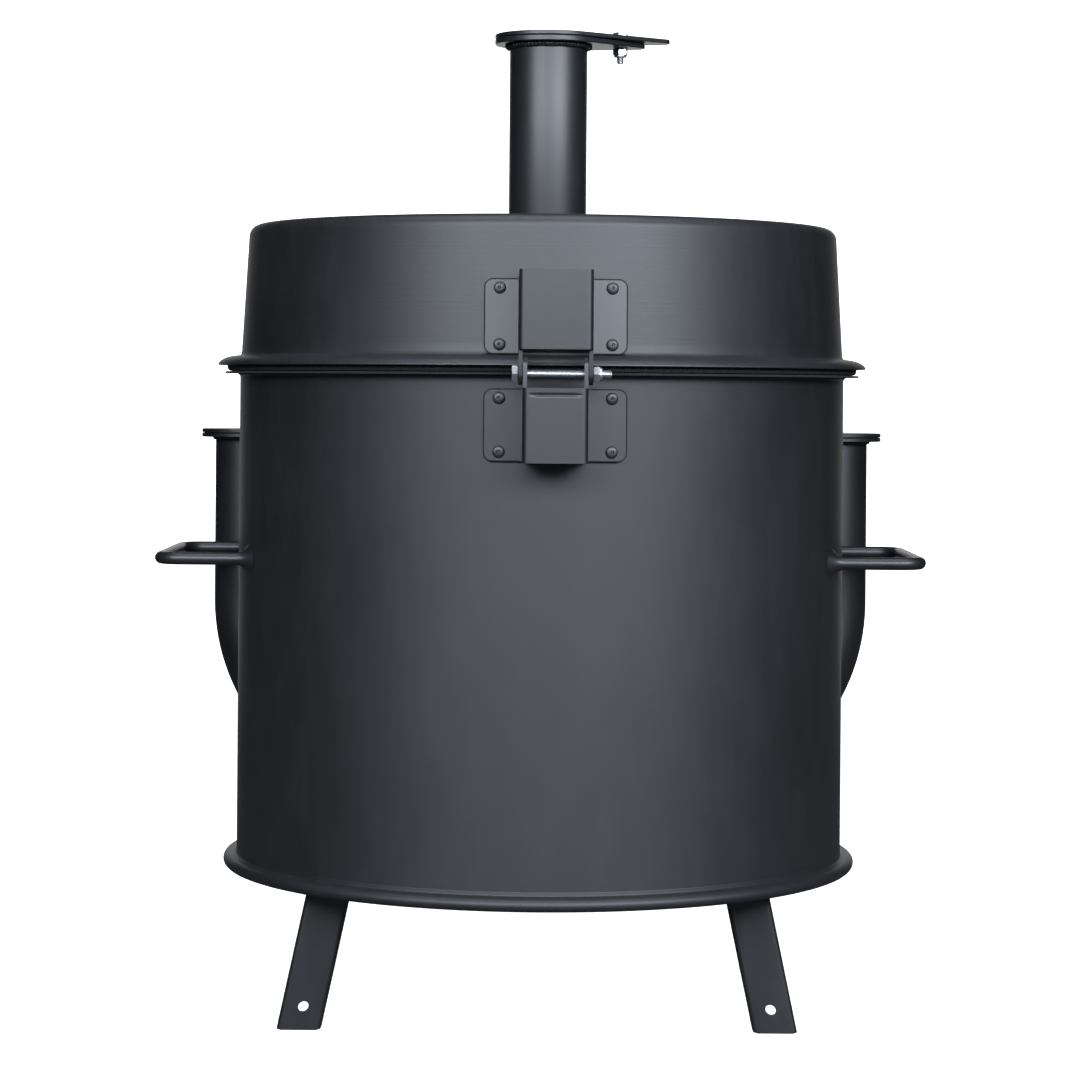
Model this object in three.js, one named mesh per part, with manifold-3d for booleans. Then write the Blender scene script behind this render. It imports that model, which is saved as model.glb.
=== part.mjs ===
// A vertical drum smoker: a round drum on four legs, with two air intakes, a hinged lid with a chimney,
// and the fire basket, ash pan and cooking grate inside. Millimetres, +Z up. The origin is on the ground
// under the drum's axis, the lid's handle is towards -Y and the hinge is towards +Y.
import * as THREE from "three";
import { mergeVertices } from "three/addons/utils/BufferGeometryUtils.js";
import Module from "manifold-3d";

const wasm = await Module();
wasm.setup();

// ---------------------------------------------------------------- driving dimensions
const GAP = 0.3; // between faces that rest on each other
const SHEET = 2; // sheet of the drum, its floor and the lid
const FACETS = 56; // sides of everything turned about the drum's axis
const SMALL_FACETS = 12; // sides of bolts, bars and small holes
const CUT = 20; // how far a cut runs on past what it opens
const FOLD_MIN = 0.5; // smallest inside radius of a fold

const DRUM_RADIUS = 292.1;
const DRUM_FOOT = 133; // underside of the bottom bead above the ground
const DRUM_HEIGHT = 474; // underside of the bead to the top of the flange
const BEAD_RADIUS = 6;
const BEAD_REACH = 12.7; // how far the bead stands out of the wall
const CRIMP = { reach: 3, foot: 1.5, top: 6 }; // the bead's run up into the wall, above the bead
const DRUM_FLANGE_REACH = 14.4;
const DRUM_FLANGE_BEND = 4;
const FLOOR_RISE = 8; // drum floor above the underside of the bead
const FLOOR_SKIRT = 24; // turned-up edge of the floor
const FLOOR_BEND = 5;

const LID_STAND = 6; // drum's top to the foot of the lid's flange
const SEAL_WIDTH = 9;
const SEAL_INSET = 2; // edge of the drum's flange to the seal
const LID_HEIGHT = 135; // flange to the corner of the top
const LID_TAPER = THREE.MathUtils.degToRad(3.3);
const LID_WALL_INSET = 1.1; // lid's wall inside the drum's, at the top of the flange
const LID_FLANGE_REACH = 22.5;
const LID_FLANGE_RISE = 9.5; // height of the rounded flange
const LID_CORNER = 11;
const LID_CROWN = 3;

const LEG_WIDTH = 40;
const LEG_DEPTH = 20;
const LEG_PLATE = 3;
const LEG_BEND = 4.5; // outer radius of the folds
const LEG_LEAN = THREE.MathUtils.degToRad(12);
const LEG_HOLE_RADIUS = 4.6;
const LEG_HOLE_HEIGHT = 22;
const LEG_INSET = 41.8; // drum wall to the middle of each leg's top
const REAR_LEG_AZIMUTH = THREE.MathUtils.degToRad(40.6); // from square to the side
const FRONT_LEG_AZIMUTH = THREE.MathUtils.degToRad(36.8);

const HANDLE_ROD = 6; // radius of the bar that the handles are bent from
const HANDLE_SPAN = 204; // between the bar's two ends, centre to centre
const HANDLE_BEND = 20;
const HANDLE_COLLAR = 13.5; // radius of the flared collar at the wall
const HANDLE_COLLAR_LENGTH = 13;
const HANDLE_COLLAR_EDGE = 1; // the collar's widest part, inside the wall's face
const HANDLE_COLLAR_NECK = { radius: 8.5, rise: 7 };
const SIDE_HANDLE_REACH = 72.9; // drum wall to the bar's outer edge
const SIDE_HANDLE_DROP = 176; // drum's top to the bar

const PIPE_RADIUS = 36.5; // of the chimney and the intakes
const PIPE_WALL = 3;
const PIPE_FACETS = 20;
const VENT_RIM = 14; // how far the discs that top each pipe stand out of it
const VENT_TAB = 11; // radius of the tabs' round ends
const VENT_BOLT_OFFSET = 20.5; // edge of the discs to the pivot bolt
const VENT_SEAT_TAB = 24; // pivot bolt to the end of the seat's tab
const VENT_DAMPER_TAB = 49; // pivot bolt to the end of the damper's tab
const VENT_GAP = 0.5; // between a damper and its seat
const VENT_BOLT = 3.5; // radius
const VENT_HEX = 7.4; // across corners, half
const VENT_HEAD = 5; // height of the bolt's head
const VENT_NUT = 8.5; // height
const VENT_THREAD = 6; // left over below the nut
const VENT_CLEARANCE = 0.5; // round the bolt's shank

const INTAKE_AZIMUTH = THREE.MathUtils.degToRad(30); // forward of square to the side
const INTAKE_CLEARANCE = 1.4; // drum wall to the discs
const INTAKE_DROP = 58; // drum's top to the top face of the damper
const INTAKE_PLATE = 4;
const INTAKE_BEND = 142; // centreline radius of the elbow
const INTAKE_UPRIGHT = 174; // top of the damper to the start of the elbow
const INTAKE_BEND_TURN = THREE.MathUtils.degToRad(72);

const CHIMNEY = { x: -4, y: 100 }; // the pipe's axis
const CHIMNEY_HEIGHT = 177; // lid's shoulder to the top face of the damper
const CHIMNEY_SEAT = 5;
const CHIMNEY_PLATE = 4;
const CHIMNEY_TAB_AZIMUTH = THREE.MathUtils.degToRad(197); // from +X towards +Y
const CHIMNEY_INSIDE = 6; // how far the pipe reaches below the lid's top

const HINGE_X = -12; // the hinge's middle
const HINGE_PLATE = 3.4;
const HINGE_BEND = 5; // outer radius of the folds
const HINGE_REACH = 59.9; // drum wall to the outer face of the hats, and to the lid handle's outer edge
const HINGE_WIDTH = 127; // over both wings
const HINGE_CORNER = 8;
const HINGE_PIVOT_REACH = 41.9; // drum wall to the hinge bolt's axis
const HINGE_PIVOT_DROP = 1.5; // drum's top to the hinge bolt's axis
const HINGE_BOLT = 4; // radius
const HINGE_HEX = 7.4; // across corners, half
const HINGE_HEAD = 5.6; // height of the bolt's head
const HINGE_NUT = 8; // height
const HINGE_THREAD = 8; // left over past the nut
const HINGE_BOLT_CLEARANCE = 0.5;
const HINGE_EAR = 9.5; // radius of the ears' ends
const HINGE_EAR_GAP = 0.6; // between the upper bracket's ears and the lower's
const HINGE_LOWER_HALF = 28.2; // half the lower hat's width
const UPPER_WING_LIFT = 0.5; // lid's flange to the foot of the wings
const UPPER_WING_HEIGHT = 67;
const UPPER_WEB_LIFT = 4; // foot of the wings to the foot of the hat's web
const UPPER_HAT_RISE = 6; // top of the wings to the top of the hat
const LOWER_HAT_DROP = 13.5; // drum's top to the top of the lower hat
const LOWER_HAT_HEIGHT = 65;
const LOWER_EAR_RISE = 16; // hinge axis to the top of the lower ears
const LOWER_WING_DROP = 0.7; // top of the lower hat to the top of its wings
const RIVET_SPAN = 98.3; // between the two columns of rivets
const RIVET_INSET = 8.5; // from the wings' top and bottom edges
const RIVET_HEAD = 5.6;
const RIVET_HEAD_HEIGHT = 3.2;
const RIVET_DOME = 0.75; // share of the head's radius and height at its shoulder
const RIVET_SHANK = 2.6;
const RIVET_TAIL = 4; // radius of the set end inside the wall
const RIVET_TAIL_HEIGHT = 3;
const RIVET_FACETS = 8;

const LID_HANDLE_LIFT = 29.5; // lid's flange to the handle

const DIAL_LIFT = 42; // lid's handle to the middle of the thermometer
const DIAL_RADIUS = 31;
const DIAL_FACETS = 24;
const DIAL_DEPTH = 15;
const DIAL_WALL = 2;
const DIAL_LIP = 1; // how far the case turns in over the glass
const DIAL_BEZEL = 4; // height of the case's rim
const DIAL_BEZEL_STEP = 1; // how far that rim stands out of the case
const DIAL_STEM = 3;
const DIAL_STEM_LENGTH = 90;
const DIAL_STEM_FACETS = 8;
const DIAL_BUSH = 6.5; // threaded bush through the lid
const DIAL_NUT = 11.5; // across corners, half
const DIAL_NUT_HEIGHT = 5;
const DIAL_BUSH_END = 2; // bush left over past its nut
const DIAL_SHEET = 0.8;
const DIAL_SPINDLE = 1.6; // room behind the dial for the needle's spindle
const DIAL_PIVOT = 0.9; // radius of that spindle
const LENS_SHEET = 1.8;
const NEEDLE_WIDTH = 3;
const NEEDLE_HUB = 3.2;
const NEEDLE_HUB_HEIGHT = 1.6;
const NEEDLE_SHEET = 0.8;
const NEEDLE_TIP = 0.8; // width of its point
const NEEDLE_CLEARANCE = 6; // its point to the case
const NEEDLE_COLD = 130; // degrees anticlockwise from straight up

const GRATE_DROP = 58; // drum's top to the underside of the cooking grate
const GRATE_CLEARANCE = 9.1; // round the grate
const GRATE_RIM = 4; // radius of the rim's rod
const GRATE_ROD = 2.5;
const GRATE_PITCH = 30;
const GRATE_TIE = 130; // the ties' distance from the middle
const GRATE_FACETS = 40;
const GRATE_ROD_FACETS = 5;
const LUG = { width: 26, depth: 24, drop: 22, plate: 3 };

const PAN_RADIUS = 220;
const PAN_RIM = 28;
const PAN_SHEET = 1.6;
const PAN_FLARE = 8; // how far the rim leans out
const PAN_FACETS = 40;
const BASKET_RADIUS = 185;
const BASKET_FACETS = 32;
const BASKET_HEIGHT = 190;
const BASKET_SHEET = 2.5;
const BASKET_LEG = 26; // clear height under the basket's floor
const BASKET_LEG_WIDTH = 30;
const BASKET_SHELF = 10; // turned-in foot that carries the fire grate
const BASKET_SLOTS = 16;
const BASKET_SLOT_WIDTH = 36;
const BASKET_SLOT_SHARE = 0.32; // a slot's height as a share of the wall's
const BASKET_SLOT_ROWS = [0.29, 0.71]; // middles of the rows as shares of the wall's height
const BASKET_ROD = 3;
const BASKET_ROD_PITCH = 36;
const BASKET_HANDLE_RISE = 68; // top of the handle above the basket's edge
const BASKET_HANDLE_ROOT = 25; // how far the handle's ends reach down inside the wall
const BASKET_HANDLE_BEND = 45;
const BASKET_BAIL = 4; // radius of the handle's rod

// ---------------------------------------------------------------- levels that follow
const facetSag = DRUM_RADIUS * (1 - Math.cos(Math.PI / FACETS)); // flats lie this far inside their corners
const drumTop = DRUM_FOOT + DRUM_HEIGHT;
const floorUnderside = DRUM_FOOT + FLOOR_RISE;
const floorTop = floorUnderside + SHEET;
const lidFoot = drumTop + LID_STAND;
const lidFlangeTop = lidFoot + LID_FLANGE_RISE;
const lidShoulder = lidFoot + LID_HEIGHT;
const lidWallRadius = DRUM_RADIUS - LID_WALL_INSET;
const ventDisc = PIPE_RADIUS + VENT_RIM; // radius of the discs
const ventBoltReach = ventDisc + VENT_BOLT_OFFSET; // pipe axis to the pivot bolt
const sideHandleReach = DRUM_RADIUS + SIDE_HANDLE_REACH;
const sideHandleLevel = drumTop - SIDE_HANDLE_DROP;
const intakeRadius = DRUM_RADIUS + ventDisc + INTAKE_CLEARANCE; // drum axis to the upright pipe's
const intakeTop = drumTop - INTAKE_DROP;
const intakeBendLevel = intakeTop - INTAKE_UPRIGHT;
const chimneyTop = lidShoulder + CHIMNEY_HEIGHT;
const hingeReach = DRUM_RADIUS + HINGE_REACH;
const hingeAxis = { y: DRUM_RADIUS + HINGE_PIVOT_REACH, z: drumTop - HINGE_PIVOT_DROP };
const lidHandleLevel = lidFlangeTop + LID_HANDLE_LIFT;
const dialLevel = lidHandleLevel + DIAL_LIFT;
const grateLevel = drumTop - GRATE_DROP;

// The heights and half width of each hinge bracket.
const upperHat = {
  half: HINGE_LOWER_HALF + HINGE_EAR_GAP + HINGE_PLATE,
  wingFoot: lidFlangeTop + UPPER_WING_LIFT,
};
upperHat.wingTop = upperHat.wingFoot + UPPER_WING_HEIGHT;
upperHat.web = upperHat.wingFoot + UPPER_WEB_LIFT;
upperHat.top = upperHat.wingTop + UPPER_HAT_RISE;
const lowerHat = {
  half: HINGE_LOWER_HALF,
  top: drumTop - LOWER_HAT_DROP,
  ear: hingeAxis.z + LOWER_EAR_RISE,
};
lowerHat.foot = lowerHat.top - LOWER_HAT_HEIGHT;
lowerHat.wingTop = lowerHat.top - LOWER_WING_DROP;

// Radius of the lid's outer wall at height z.
function lidRadius(z) {
  return lidWallRadius - (z - lidFlangeTop) * Math.tan(LID_TAPER);
}

// ---------------------------------------------------------------- solids
// A closed three.js geometry as a solid that can be joined and cut.
function solid(geometry) {
  const bare = geometry.index ? geometry.toNonIndexed() : geometry.clone();
  bare.deleteAttribute("normal");
  bare.deleteAttribute("uv");
  const merged = mergeVertices(bare, 1e-4);
  const corners = merged.index.array;
  const kept = [];
  for (let i = 0; i < corners.length; i += 3) {
    const [a, b, c] = corners.subarray(i, i + 3);
    if (a !== b && b !== c && c !== a) kept.push(a, b, c);
  }
  const vertProperties = new Float32Array(merged.getAttribute("position").array);
  return new wasm.Manifold(new wasm.Mesh({ numProp: 3, vertProperties, triVerts: new Uint32Array(kept) }));
}

// A solid back as a geometry.
function geometryOf(body) {
  const mesh = body.getMesh();
  const geometry = new THREE.BufferGeometry();
  geometry.setAttribute("position", new THREE.BufferAttribute(new Float32Array(mesh.vertProperties), 3));
  geometry.setIndex(new THREE.BufferAttribute(new Uint32Array(mesh.triVerts), 1));
  geometry.computeVertexNormals();
  return geometry;
}

// A geometry moved by a position and Euler turns in radians, as a solid.
function placed(geometry, position, turn = [0, 0, 0]) {
  const place = new THREE.Object3D();
  place.position.set(...position);
  place.rotation.set(...turn);
  place.updateMatrix();
  return solid(geometry.clone().applyMatrix4(place.matrix));
}

// Points of an arc in the plane of a profile, from angle a to angle b in degrees.
function arc(x, y, radius, a, b, steps) {
  return Array.from({ length: steps + 1 }, (_, i) => {
    const angle = THREE.MathUtils.degToRad(a + ((b - a) * i) / steps);
    return [x + radius * Math.cos(angle), y + radius * Math.sin(angle)];
  });
}

// A profile of [radius, height] turned about the Z axis. A ring's profile closes on itself.
function turned(profile, facets = FACETS) {
  const onAxis = profile[0][0] === 0;
  const points = onAxis ? profile : [...profile, profile[0]];
  const lathe = new THREE.LatheGeometry(points.map(([r, z]) => new THREE.Vector2(r, z)), facets);
  return lathe.rotateX(Math.PI / 2);
}

// A solid cylinder along Z from z0 to z1.
function rod(radius, z0, z1, facets = SMALL_FACETS) {
  return turned([[0, z0], [radius, z0], [radius, z1], [0, z1]], facets);
}

// A tube along Z from z0 to z1.
function tube(outer, inner, z0, z1, facets) {
  return turned([[inner, z0], [outer, z0], [outer, z1], [inner, z1]], facets);
}

// A block between two corners.
function block([x0, y0, z0], [x1, y1, z1]) {
  const size = new THREE.BoxGeometry(x1 - x0, y1 - y0, z1 - z0);
  return size.translate((x0 + x1) / 2, (y0 + y1) / 2, (z0 + z1) / 2);
}

// An outline of [x, y] points raised along Z from z0 to z1.
function prism(outline, z0, z1) {
  const shape = new THREE.Shape(outline.map(([x, y]) => new THREE.Vector2(x, y)));
  const raised = new THREE.ExtrudeGeometry(shape, { depth: z1 - z0, bevelEnabled: false });
  return raised.translate(0, 0, z0);
}

// A rectangle's outline with round corners.
function roundedRectangle(x0, y0, x1, y1, radius, steps = 4) {
  return [
    ...arc(x1 - radius, y0 + radius, radius, -90, 0, steps),
    ...arc(x1 - radius, y1 - radius, radius, 0, 90, steps),
    ...arc(x0 + radius, y1 - radius, radius, 90, 180, steps),
    ...arc(x0 + radius, y0 + radius, radius, 180, 270, steps),
  ];
}

// A regular outline of a nut or bolt head, point to point 2 * radius.
function hexagon(radius) {
  return arc(0, 0, radius, 0, 300, 5);
}

// A route of straight runs and arcs, with one station at the ends of each run.
class Route extends THREE.Curve {
  constructor(stations) {
    super();
    this.stations = stations;
  }
  at(u) {
    return this.stations[Math.round(u * (this.stations.length - 1))];
  }
  getPoint(u) {
    return this.at(u).point.clone();
  }
  getPointAt(u) {
    return this.getPoint(u);
  }
  getTangentAt(u) {
    return this.at(u).tangent.clone();
  }
}

// The route of a bar bent at each inner corner of a list of corners.
function bentRoute(corners, radius, steps = 4) {
  const points = corners.map((corner) => new THREE.Vector3(...corner));
  const stations = [];
  const last = points.length - 1;
  const direction = (i) => points[i + 1].clone().sub(points[i]).normalize();
  stations.push({ point: points[0], tangent: direction(0) });
  for (let i = 1; i < last; i++) {
    const [arrive, leave] = [direction(i - 1), direction(i)];
    const turn = arrive.angleTo(leave);
    const start = points[i].clone().addScaledVector(arrive, -radius * Math.tan(turn / 2));
    const inward = leave.clone().addScaledVector(arrive, -Math.cos(turn)).normalize();
    for (let k = 0; k <= steps; k++) {
      const angle = (turn * k) / steps;
      const point = start.clone().addScaledVector(arrive, radius * Math.sin(angle));
      point.addScaledVector(inward, radius * (1 - Math.cos(angle)));
      const tangent = arrive.clone().multiplyScalar(Math.cos(angle)).addScaledVector(inward, Math.sin(angle));
      stations.push({ point, tangent });
    }
  }
  stations.push({ point: points[last], tangent: direction(last - 1) });
  return new Route(stations);
}

// A round bar along a route.
function bar(route, radius, facets = 8) {
  const section = new THREE.Shape(arc(0, 0, radius, 0, 360 - 360 / facets, facets - 1)
    .map(([x, y]) => new THREE.Vector2(x, y)));
  const steps = route.stations.length - 1;
  return new THREE.ExtrudeGeometry(section, { steps, bevelEnabled: false, extrudePath: route });
}

// A bolt along Z: a hexagonal head above z = 0 and a shank below it.
function hexBolt(shank, length, hex, headHeight) {
  return solid(rod(shank, -length, GAP)).add(solid(prism(hexagon(hex), 0, headHeight)));
}

// A nut along Z, with its seat at z = 0, that clears a shank.
function hexNut(shank, hex, height) {
  const hole = rod(shank + GAP, -CUT, height + CUT);
  return solid(prism(hexagon(hex), 0, height)).subtract(solid(hole));
}

// ---------------------------------------------------------------- materials
function finish(color, roughness, metalness) {
  return new THREE.MeshStandardMaterial({ color, roughness, metalness });
}
const powderCoat = finish(0x1c1e21, 0.5, 0.1);
const zinc = finish(0xc3c5c6, 0.3, 1);
const bareSteel = finish(0x8f9193, 0.4, 1);
const basketSteel = finish(0x4f4a45, 0.65, 0.8);
const sealFelt = finish(0x141414, 0.95, 0);
const dialWhite = finish(0xe8e6df, 0.6, 0);
const needleRed = finish(0xa8201a, 0.5, 0);
const lensGlass = new THREE.MeshStandardMaterial({
  color: 0xffffff, roughness: 0.05, metalness: 0, transparent: true, opacity: 0.3,
});

const smoker = new THREE.Group();

// Adds a solid or a geometry to a group as a named piece.
function piece(name, body, material, group = smoker) {
  const geometry = body.isBufferGeometry ? geometryOf(solid(body)) : geometryOf(body);
  const mesh = new THREE.Mesh(geometry, material);
  mesh.name = name;
  group.add(mesh);
  return mesh;
}

// ---------------------------------------------------------------- drum
// The wall with its rolled bead at the bottom and its flange turned out at the top.
const drumInside = DRUM_RADIUS - SHEET;
const beadCentre = DRUM_RADIUS + BEAD_REACH - BEAD_RADIUS;
const beadLevel = DRUM_FOOT + BEAD_RADIUS;
const drumFlangeFoot = drumTop - SHEET;
const drumProfile = [
  [drumInside, beadLevel],
  ...arc(beadCentre, beadLevel, BEAD_RADIUS, -135, 90, 5),
  [DRUM_RADIUS + CRIMP.reach, beadLevel + BEAD_RADIUS + CRIMP.foot],
  [DRUM_RADIUS, beadLevel + BEAD_RADIUS + CRIMP.top],
  ...arc(DRUM_RADIUS + DRUM_FLANGE_BEND, drumFlangeFoot - DRUM_FLANGE_BEND, DRUM_FLANGE_BEND, 180, 90, 2),
  [DRUM_RADIUS + DRUM_FLANGE_REACH, drumFlangeFoot],
  [DRUM_RADIUS + DRUM_FLANGE_REACH, drumTop],
  [drumInside + DRUM_FLANGE_BEND, drumTop],
  [drumInside, drumTop - DRUM_FLANGE_BEND],
];

// The axis of an intake pipe: upright, then curving in through the drum's wall.
// Returns the stations of the pipe's centreline from the given height down.
function intakeRoute(side, top) {
  const out = new THREE.Vector3(side * Math.cos(INTAKE_AZIMUTH), -Math.sin(INTAKE_AZIMUTH), 0);
  const down = new THREE.Vector3(0, 0, -1);
  const stations = [{ point: out.clone().multiplyScalar(intakeRadius).setZ(top), tangent: down }];
  const steps = 6;
  for (let i = 0; i <= steps; i++) {
    const angle = (INTAKE_BEND_TURN * i) / steps;
    const reach = intakeRadius - INTAKE_BEND * (1 - Math.cos(angle));
    const point = out.clone().multiplyScalar(reach).setZ(intakeBendLevel - INTAKE_BEND * Math.sin(angle));
    const tangent = out.clone().multiplyScalar(-Math.sin(angle)).setZ(-Math.cos(angle));
    stations.push({ point, tangent });
  }
  return new Route(stations);
}

const pipeBore = PIPE_RADIUS - PIPE_WALL;
const rivetHole = (RIVET_SHANK + GAP) / Math.cos(Math.PI / RIVET_FACETS);

// Calls back with the place of each rivet of a hinge bracket: its radius on the wall, angle and height.
function eachRivet({ middle, pitch }, wallRadius, callback) {
  let number = 1;
  for (const rise of [1, -1]) {
    for (const side of [-1, 1]) {
      const z = middle + (rise * pitch) / 2;
      const radius = wallRadius(z);
      const angle = Math.asin((HINGE_X + (side * RIVET_SPAN) / 2) / radius);
      callback({ z, radius, angle, number });
      number += 1;
    }
  }
}

// A geometry built along Z with the wall's face at z = 0, laid on the wall at a rivet's place.
function onWall(geometry, { z, radius, angle }, tilt) {
  const place = new THREE.Object3D();
  place.rotation.order = "ZXY";
  place.rotation.set(-Math.PI / 2 + tilt, 0, -angle);
  place.position.set(radius * Math.sin(angle), radius * Math.cos(angle), z);
  place.updateMatrix();
  return solid(geometry.clone().applyMatrix4(place.matrix));
}

const upperRivets = {
  middle: (upperHat.wingTop + upperHat.wingFoot) / 2,
  pitch: UPPER_WING_HEIGHT - 2 * RIVET_INSET,
};
const lowerRivets = {
  middle: (lowerHat.wingTop + lowerHat.foot) / 2,
  pitch: lowerHat.wingTop - lowerHat.foot - 2 * RIVET_INSET,
};
const drumWallRadius = () => DRUM_RADIUS;
const rivetHoleRod = rod(rivetHole, -CUT, CUT, RIVET_FACETS);

let drumWall = solid(turned(drumProfile));
for (const side of [1, -1]) {
  drumWall = drumWall.subtract(solid(bar(intakeRoute(side, intakeBendLevel + CUT), pipeBore, PIPE_FACETS)));
}
eachRivet(lowerRivets, drumWallRadius, (place) => {
  drumWall = drumWall.subtract(onWall(rivetHoleRod, place, 0));
});
piece("drum_body", drumWall, powderCoat);

// The floor is a shallow pan pressed up into the drum's foot.
const floorRadius = drumInside - GAP;
piece("drum_floor", turned([
  [0, floorUnderside],
  [floorRadius - FLOOR_BEND, floorUnderside],
  ...arc(floorRadius - FLOOR_BEND, floorUnderside + FLOOR_BEND, FLOOR_BEND, -45, 0, 1),
  [floorRadius, floorUnderside + FLOOR_SKIRT],
  [floorRadius - SHEET, floorUnderside + FLOOR_SKIRT],
  [floorRadius - SHEET, floorUnderside + FLOOR_BEND],
  [floorRadius - FLOOR_BEND, floorTop],
  [0, floorTop],
]), powderCoat);

// ---------------------------------------------------------------- legs
// Folded channels, welded to the floor, that lean out sideways. The foot is cut level.
function legOutline() {
  const half = LEG_WIDTH / 2;
  const inner = Math.max(LEG_BEND - LEG_PLATE, FOLD_MIN);
  return [
    [-half, -LEG_DEPTH],
    [-half + LEG_PLATE, -LEG_DEPTH],
    ...arc(-half + LEG_PLATE + inner, -LEG_PLATE - inner, inner, 180, 90, 2),
    ...arc(half - LEG_PLATE - inner, -LEG_PLATE - inner, inner, 90, 0, 2),
    [half - LEG_PLATE, -LEG_DEPTH],
    [half, -LEG_DEPTH],
    ...arc(half - LEG_BEND, -LEG_BEND, LEG_BEND, 0, 90, 3),
    ...arc(-half + LEG_BEND, -LEG_BEND, LEG_BEND, 90, 180, 3),
  ];
}

function leg(name, azimuth, side, facing) {
  const top = floorUnderside - GAP;
  const stand = DRUM_RADIUS - LEG_INSET;
  const foot = { x: stand * Math.cos(azimuth) + top * Math.tan(LEG_LEAN), y: stand * Math.sin(azimuth) };
  const channel = prism(legOutline(), -LEG_WIDTH, top / Math.cos(LEG_LEAN) + LEG_WIDTH);
  if (facing < 0) channel.rotateZ(Math.PI);
  const web = facing * foot.y;
  const leaning = placed(channel, [side * foot.x, web, 0], [0, -side * LEG_LEAN, 0]);
  const reach = foot.x + LEG_WIDTH + top;
  const level = solid(block([-reach, -DRUM_RADIUS, 0], [reach, DRUM_RADIUS, top]));
  const holeX = side * (foot.x - LEG_HOLE_HEIGHT * Math.tan(LEG_LEAN));
  const hole = rod(LEG_HOLE_RADIUS, -LEG_WIDTH, LEG_WIDTH);
  const drilled = placed(hole, [holeX, web, LEG_HOLE_HEIGHT], [Math.PI / 2, 0, 0]);
  piece(name, leaning.intersect(level).subtract(drilled), powderCoat);
}
leg("leg_rear_left", REAR_LEG_AZIMUTH, 1, 1);
leg("leg_rear_right", REAR_LEG_AZIMUTH, -1, 1);
leg("leg_front_left", FRONT_LEG_AZIMUTH, 1, -1);
leg("leg_front_right", FRONT_LEG_AZIMUTH, -1, -1);

// ---------------------------------------------------------------- bent bar handles
// Two bars run straight out of the wall and join in a cross bar, with a flared collar at each root.
// The handle is made towards +Y, level at z = 0, and its roots follow the wall that it is welded to.
function barHandle(reach, rootDepth, wall) {
  const half = HANDLE_SPAN / 2;
  const outer = reach - HANDLE_ROD;
  const route = bentRoute([
    [-half, rootDepth, 0], [-half, outer, 0], [half, outer, 0], [half, rootDepth, 0],
  ], HANDLE_BEND);
  let handle = solid(bar(route, HANDLE_ROD));
  for (const side of [-1, 1]) {
    const start = Math.sqrt(wall ** 2 - half ** 2);
    const flare = turned([
      [0, -HANDLE_COLLAR_LENGTH],
      [HANDLE_COLLAR, -HANDLE_COLLAR_LENGTH],
      [HANDLE_COLLAR, -HANDLE_COLLAR_EDGE],
      [HANDLE_COLLAR_NECK.radius, HANDLE_COLLAR_NECK.rise],
      [HANDLE_ROD, HANDLE_COLLAR_LENGTH],
      [0, HANDLE_COLLAR_LENGTH],
    ], SMALL_FACETS);
    handle = handle.add(placed(flare, [side * half, start, 0], [-Math.PI / 2, 0, 0]));
  }
  return handle;
}

// Everything outside the drum's wall, by a gap, as a thick ring.
function outside(radiusFoot, radiusTop, z0, z1) {
  const far = sideHandleReach + DRUM_RADIUS;
  return solid(turned([
    [radiusFoot + GAP, z0], [far, z0], [far, z1], [radiusTop + GAP, z1],
  ]));
}
const beyondDrum = outside(DRUM_RADIUS, DRUM_RADIUS, floorTop, drumFlangeFoot - 2 * DRUM_FLANGE_BEND);

for (const [name, side] of [["side_handle_left", 1], ["side_handle_right", -1]]) {
  const handle = barHandle(sideHandleReach, DRUM_RADIUS / 2, DRUM_RADIUS);
  const turnedOut = handle.rotate([0, 0, -90 * side]).translate([0, 0, sideHandleLevel]);
  piece(name, turnedOut.intersect(beyondDrum), powderCoat);
}

// ---------------------------------------------------------------- vents
// A plate of a disc at the origin and a round-ended tab towards +X.
function ventPlate(reach, thickness, z0) {
  const end = reach - VENT_TAB;
  const spread = THREE.MathUtils.radToDeg(Math.acos((ventDisc - VENT_TAB) / end));
  const outline = [
    ...arc(0, 0, ventDisc, spread, 360 - spread, 18),
    ...arc(end, 0, VENT_TAB, -spread, spread, 5),
  ];
  return solid(prism(outline, z0, z0 + thickness));
}

// The fixed seat, its damper above it, and the bolt and nut that the damper turns on.
// The top face of the damper is at z = 0.
function vent(seatThickness, plateThickness, group, nodes) {
  const damperFoot = -plateThickness;
  const seatTop = damperFoot - VENT_GAP;
  const seatFoot = seatTop - seatThickness;
  const boltHole = placed(rod(VENT_BOLT + VENT_CLEARANCE, -CUT, CUT), [ventBoltReach, 0, 0]);
  const bore = solid(rod(pipeBore, seatFoot - CUT, seatTop + CUT, PIPE_FACETS));
  const seatPlate = ventPlate(ventBoltReach + VENT_SEAT_TAB, seatThickness, seatFoot);
  const seat = seatPlate.subtract(bore).subtract(boltHole);
  const damperPlate = ventPlate(ventBoltReach + VENT_DAMPER_TAB, plateThickness, damperFoot);
  const damper = damperPlate.subtract(boltHole);
  const grip = GAP - seatFoot + GAP;
  const bolt = hexBolt(VENT_BOLT, grip + VENT_NUT + VENT_THREAD, VENT_HEX, VENT_HEAD);
  piece(nodes.seat, seat, powderCoat, group);
  piece(nodes.damper, damper, powderCoat, group);
  piece(nodes.bolt, bolt.translate([ventBoltReach, 0, GAP]), zinc, group);
  const nut = hexNut(VENT_BOLT, VENT_HEX, VENT_NUT);
  piece(nodes.nut, nut.translate([ventBoltReach, 0, seatFoot - GAP - VENT_NUT]), zinc, group);
}

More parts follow.
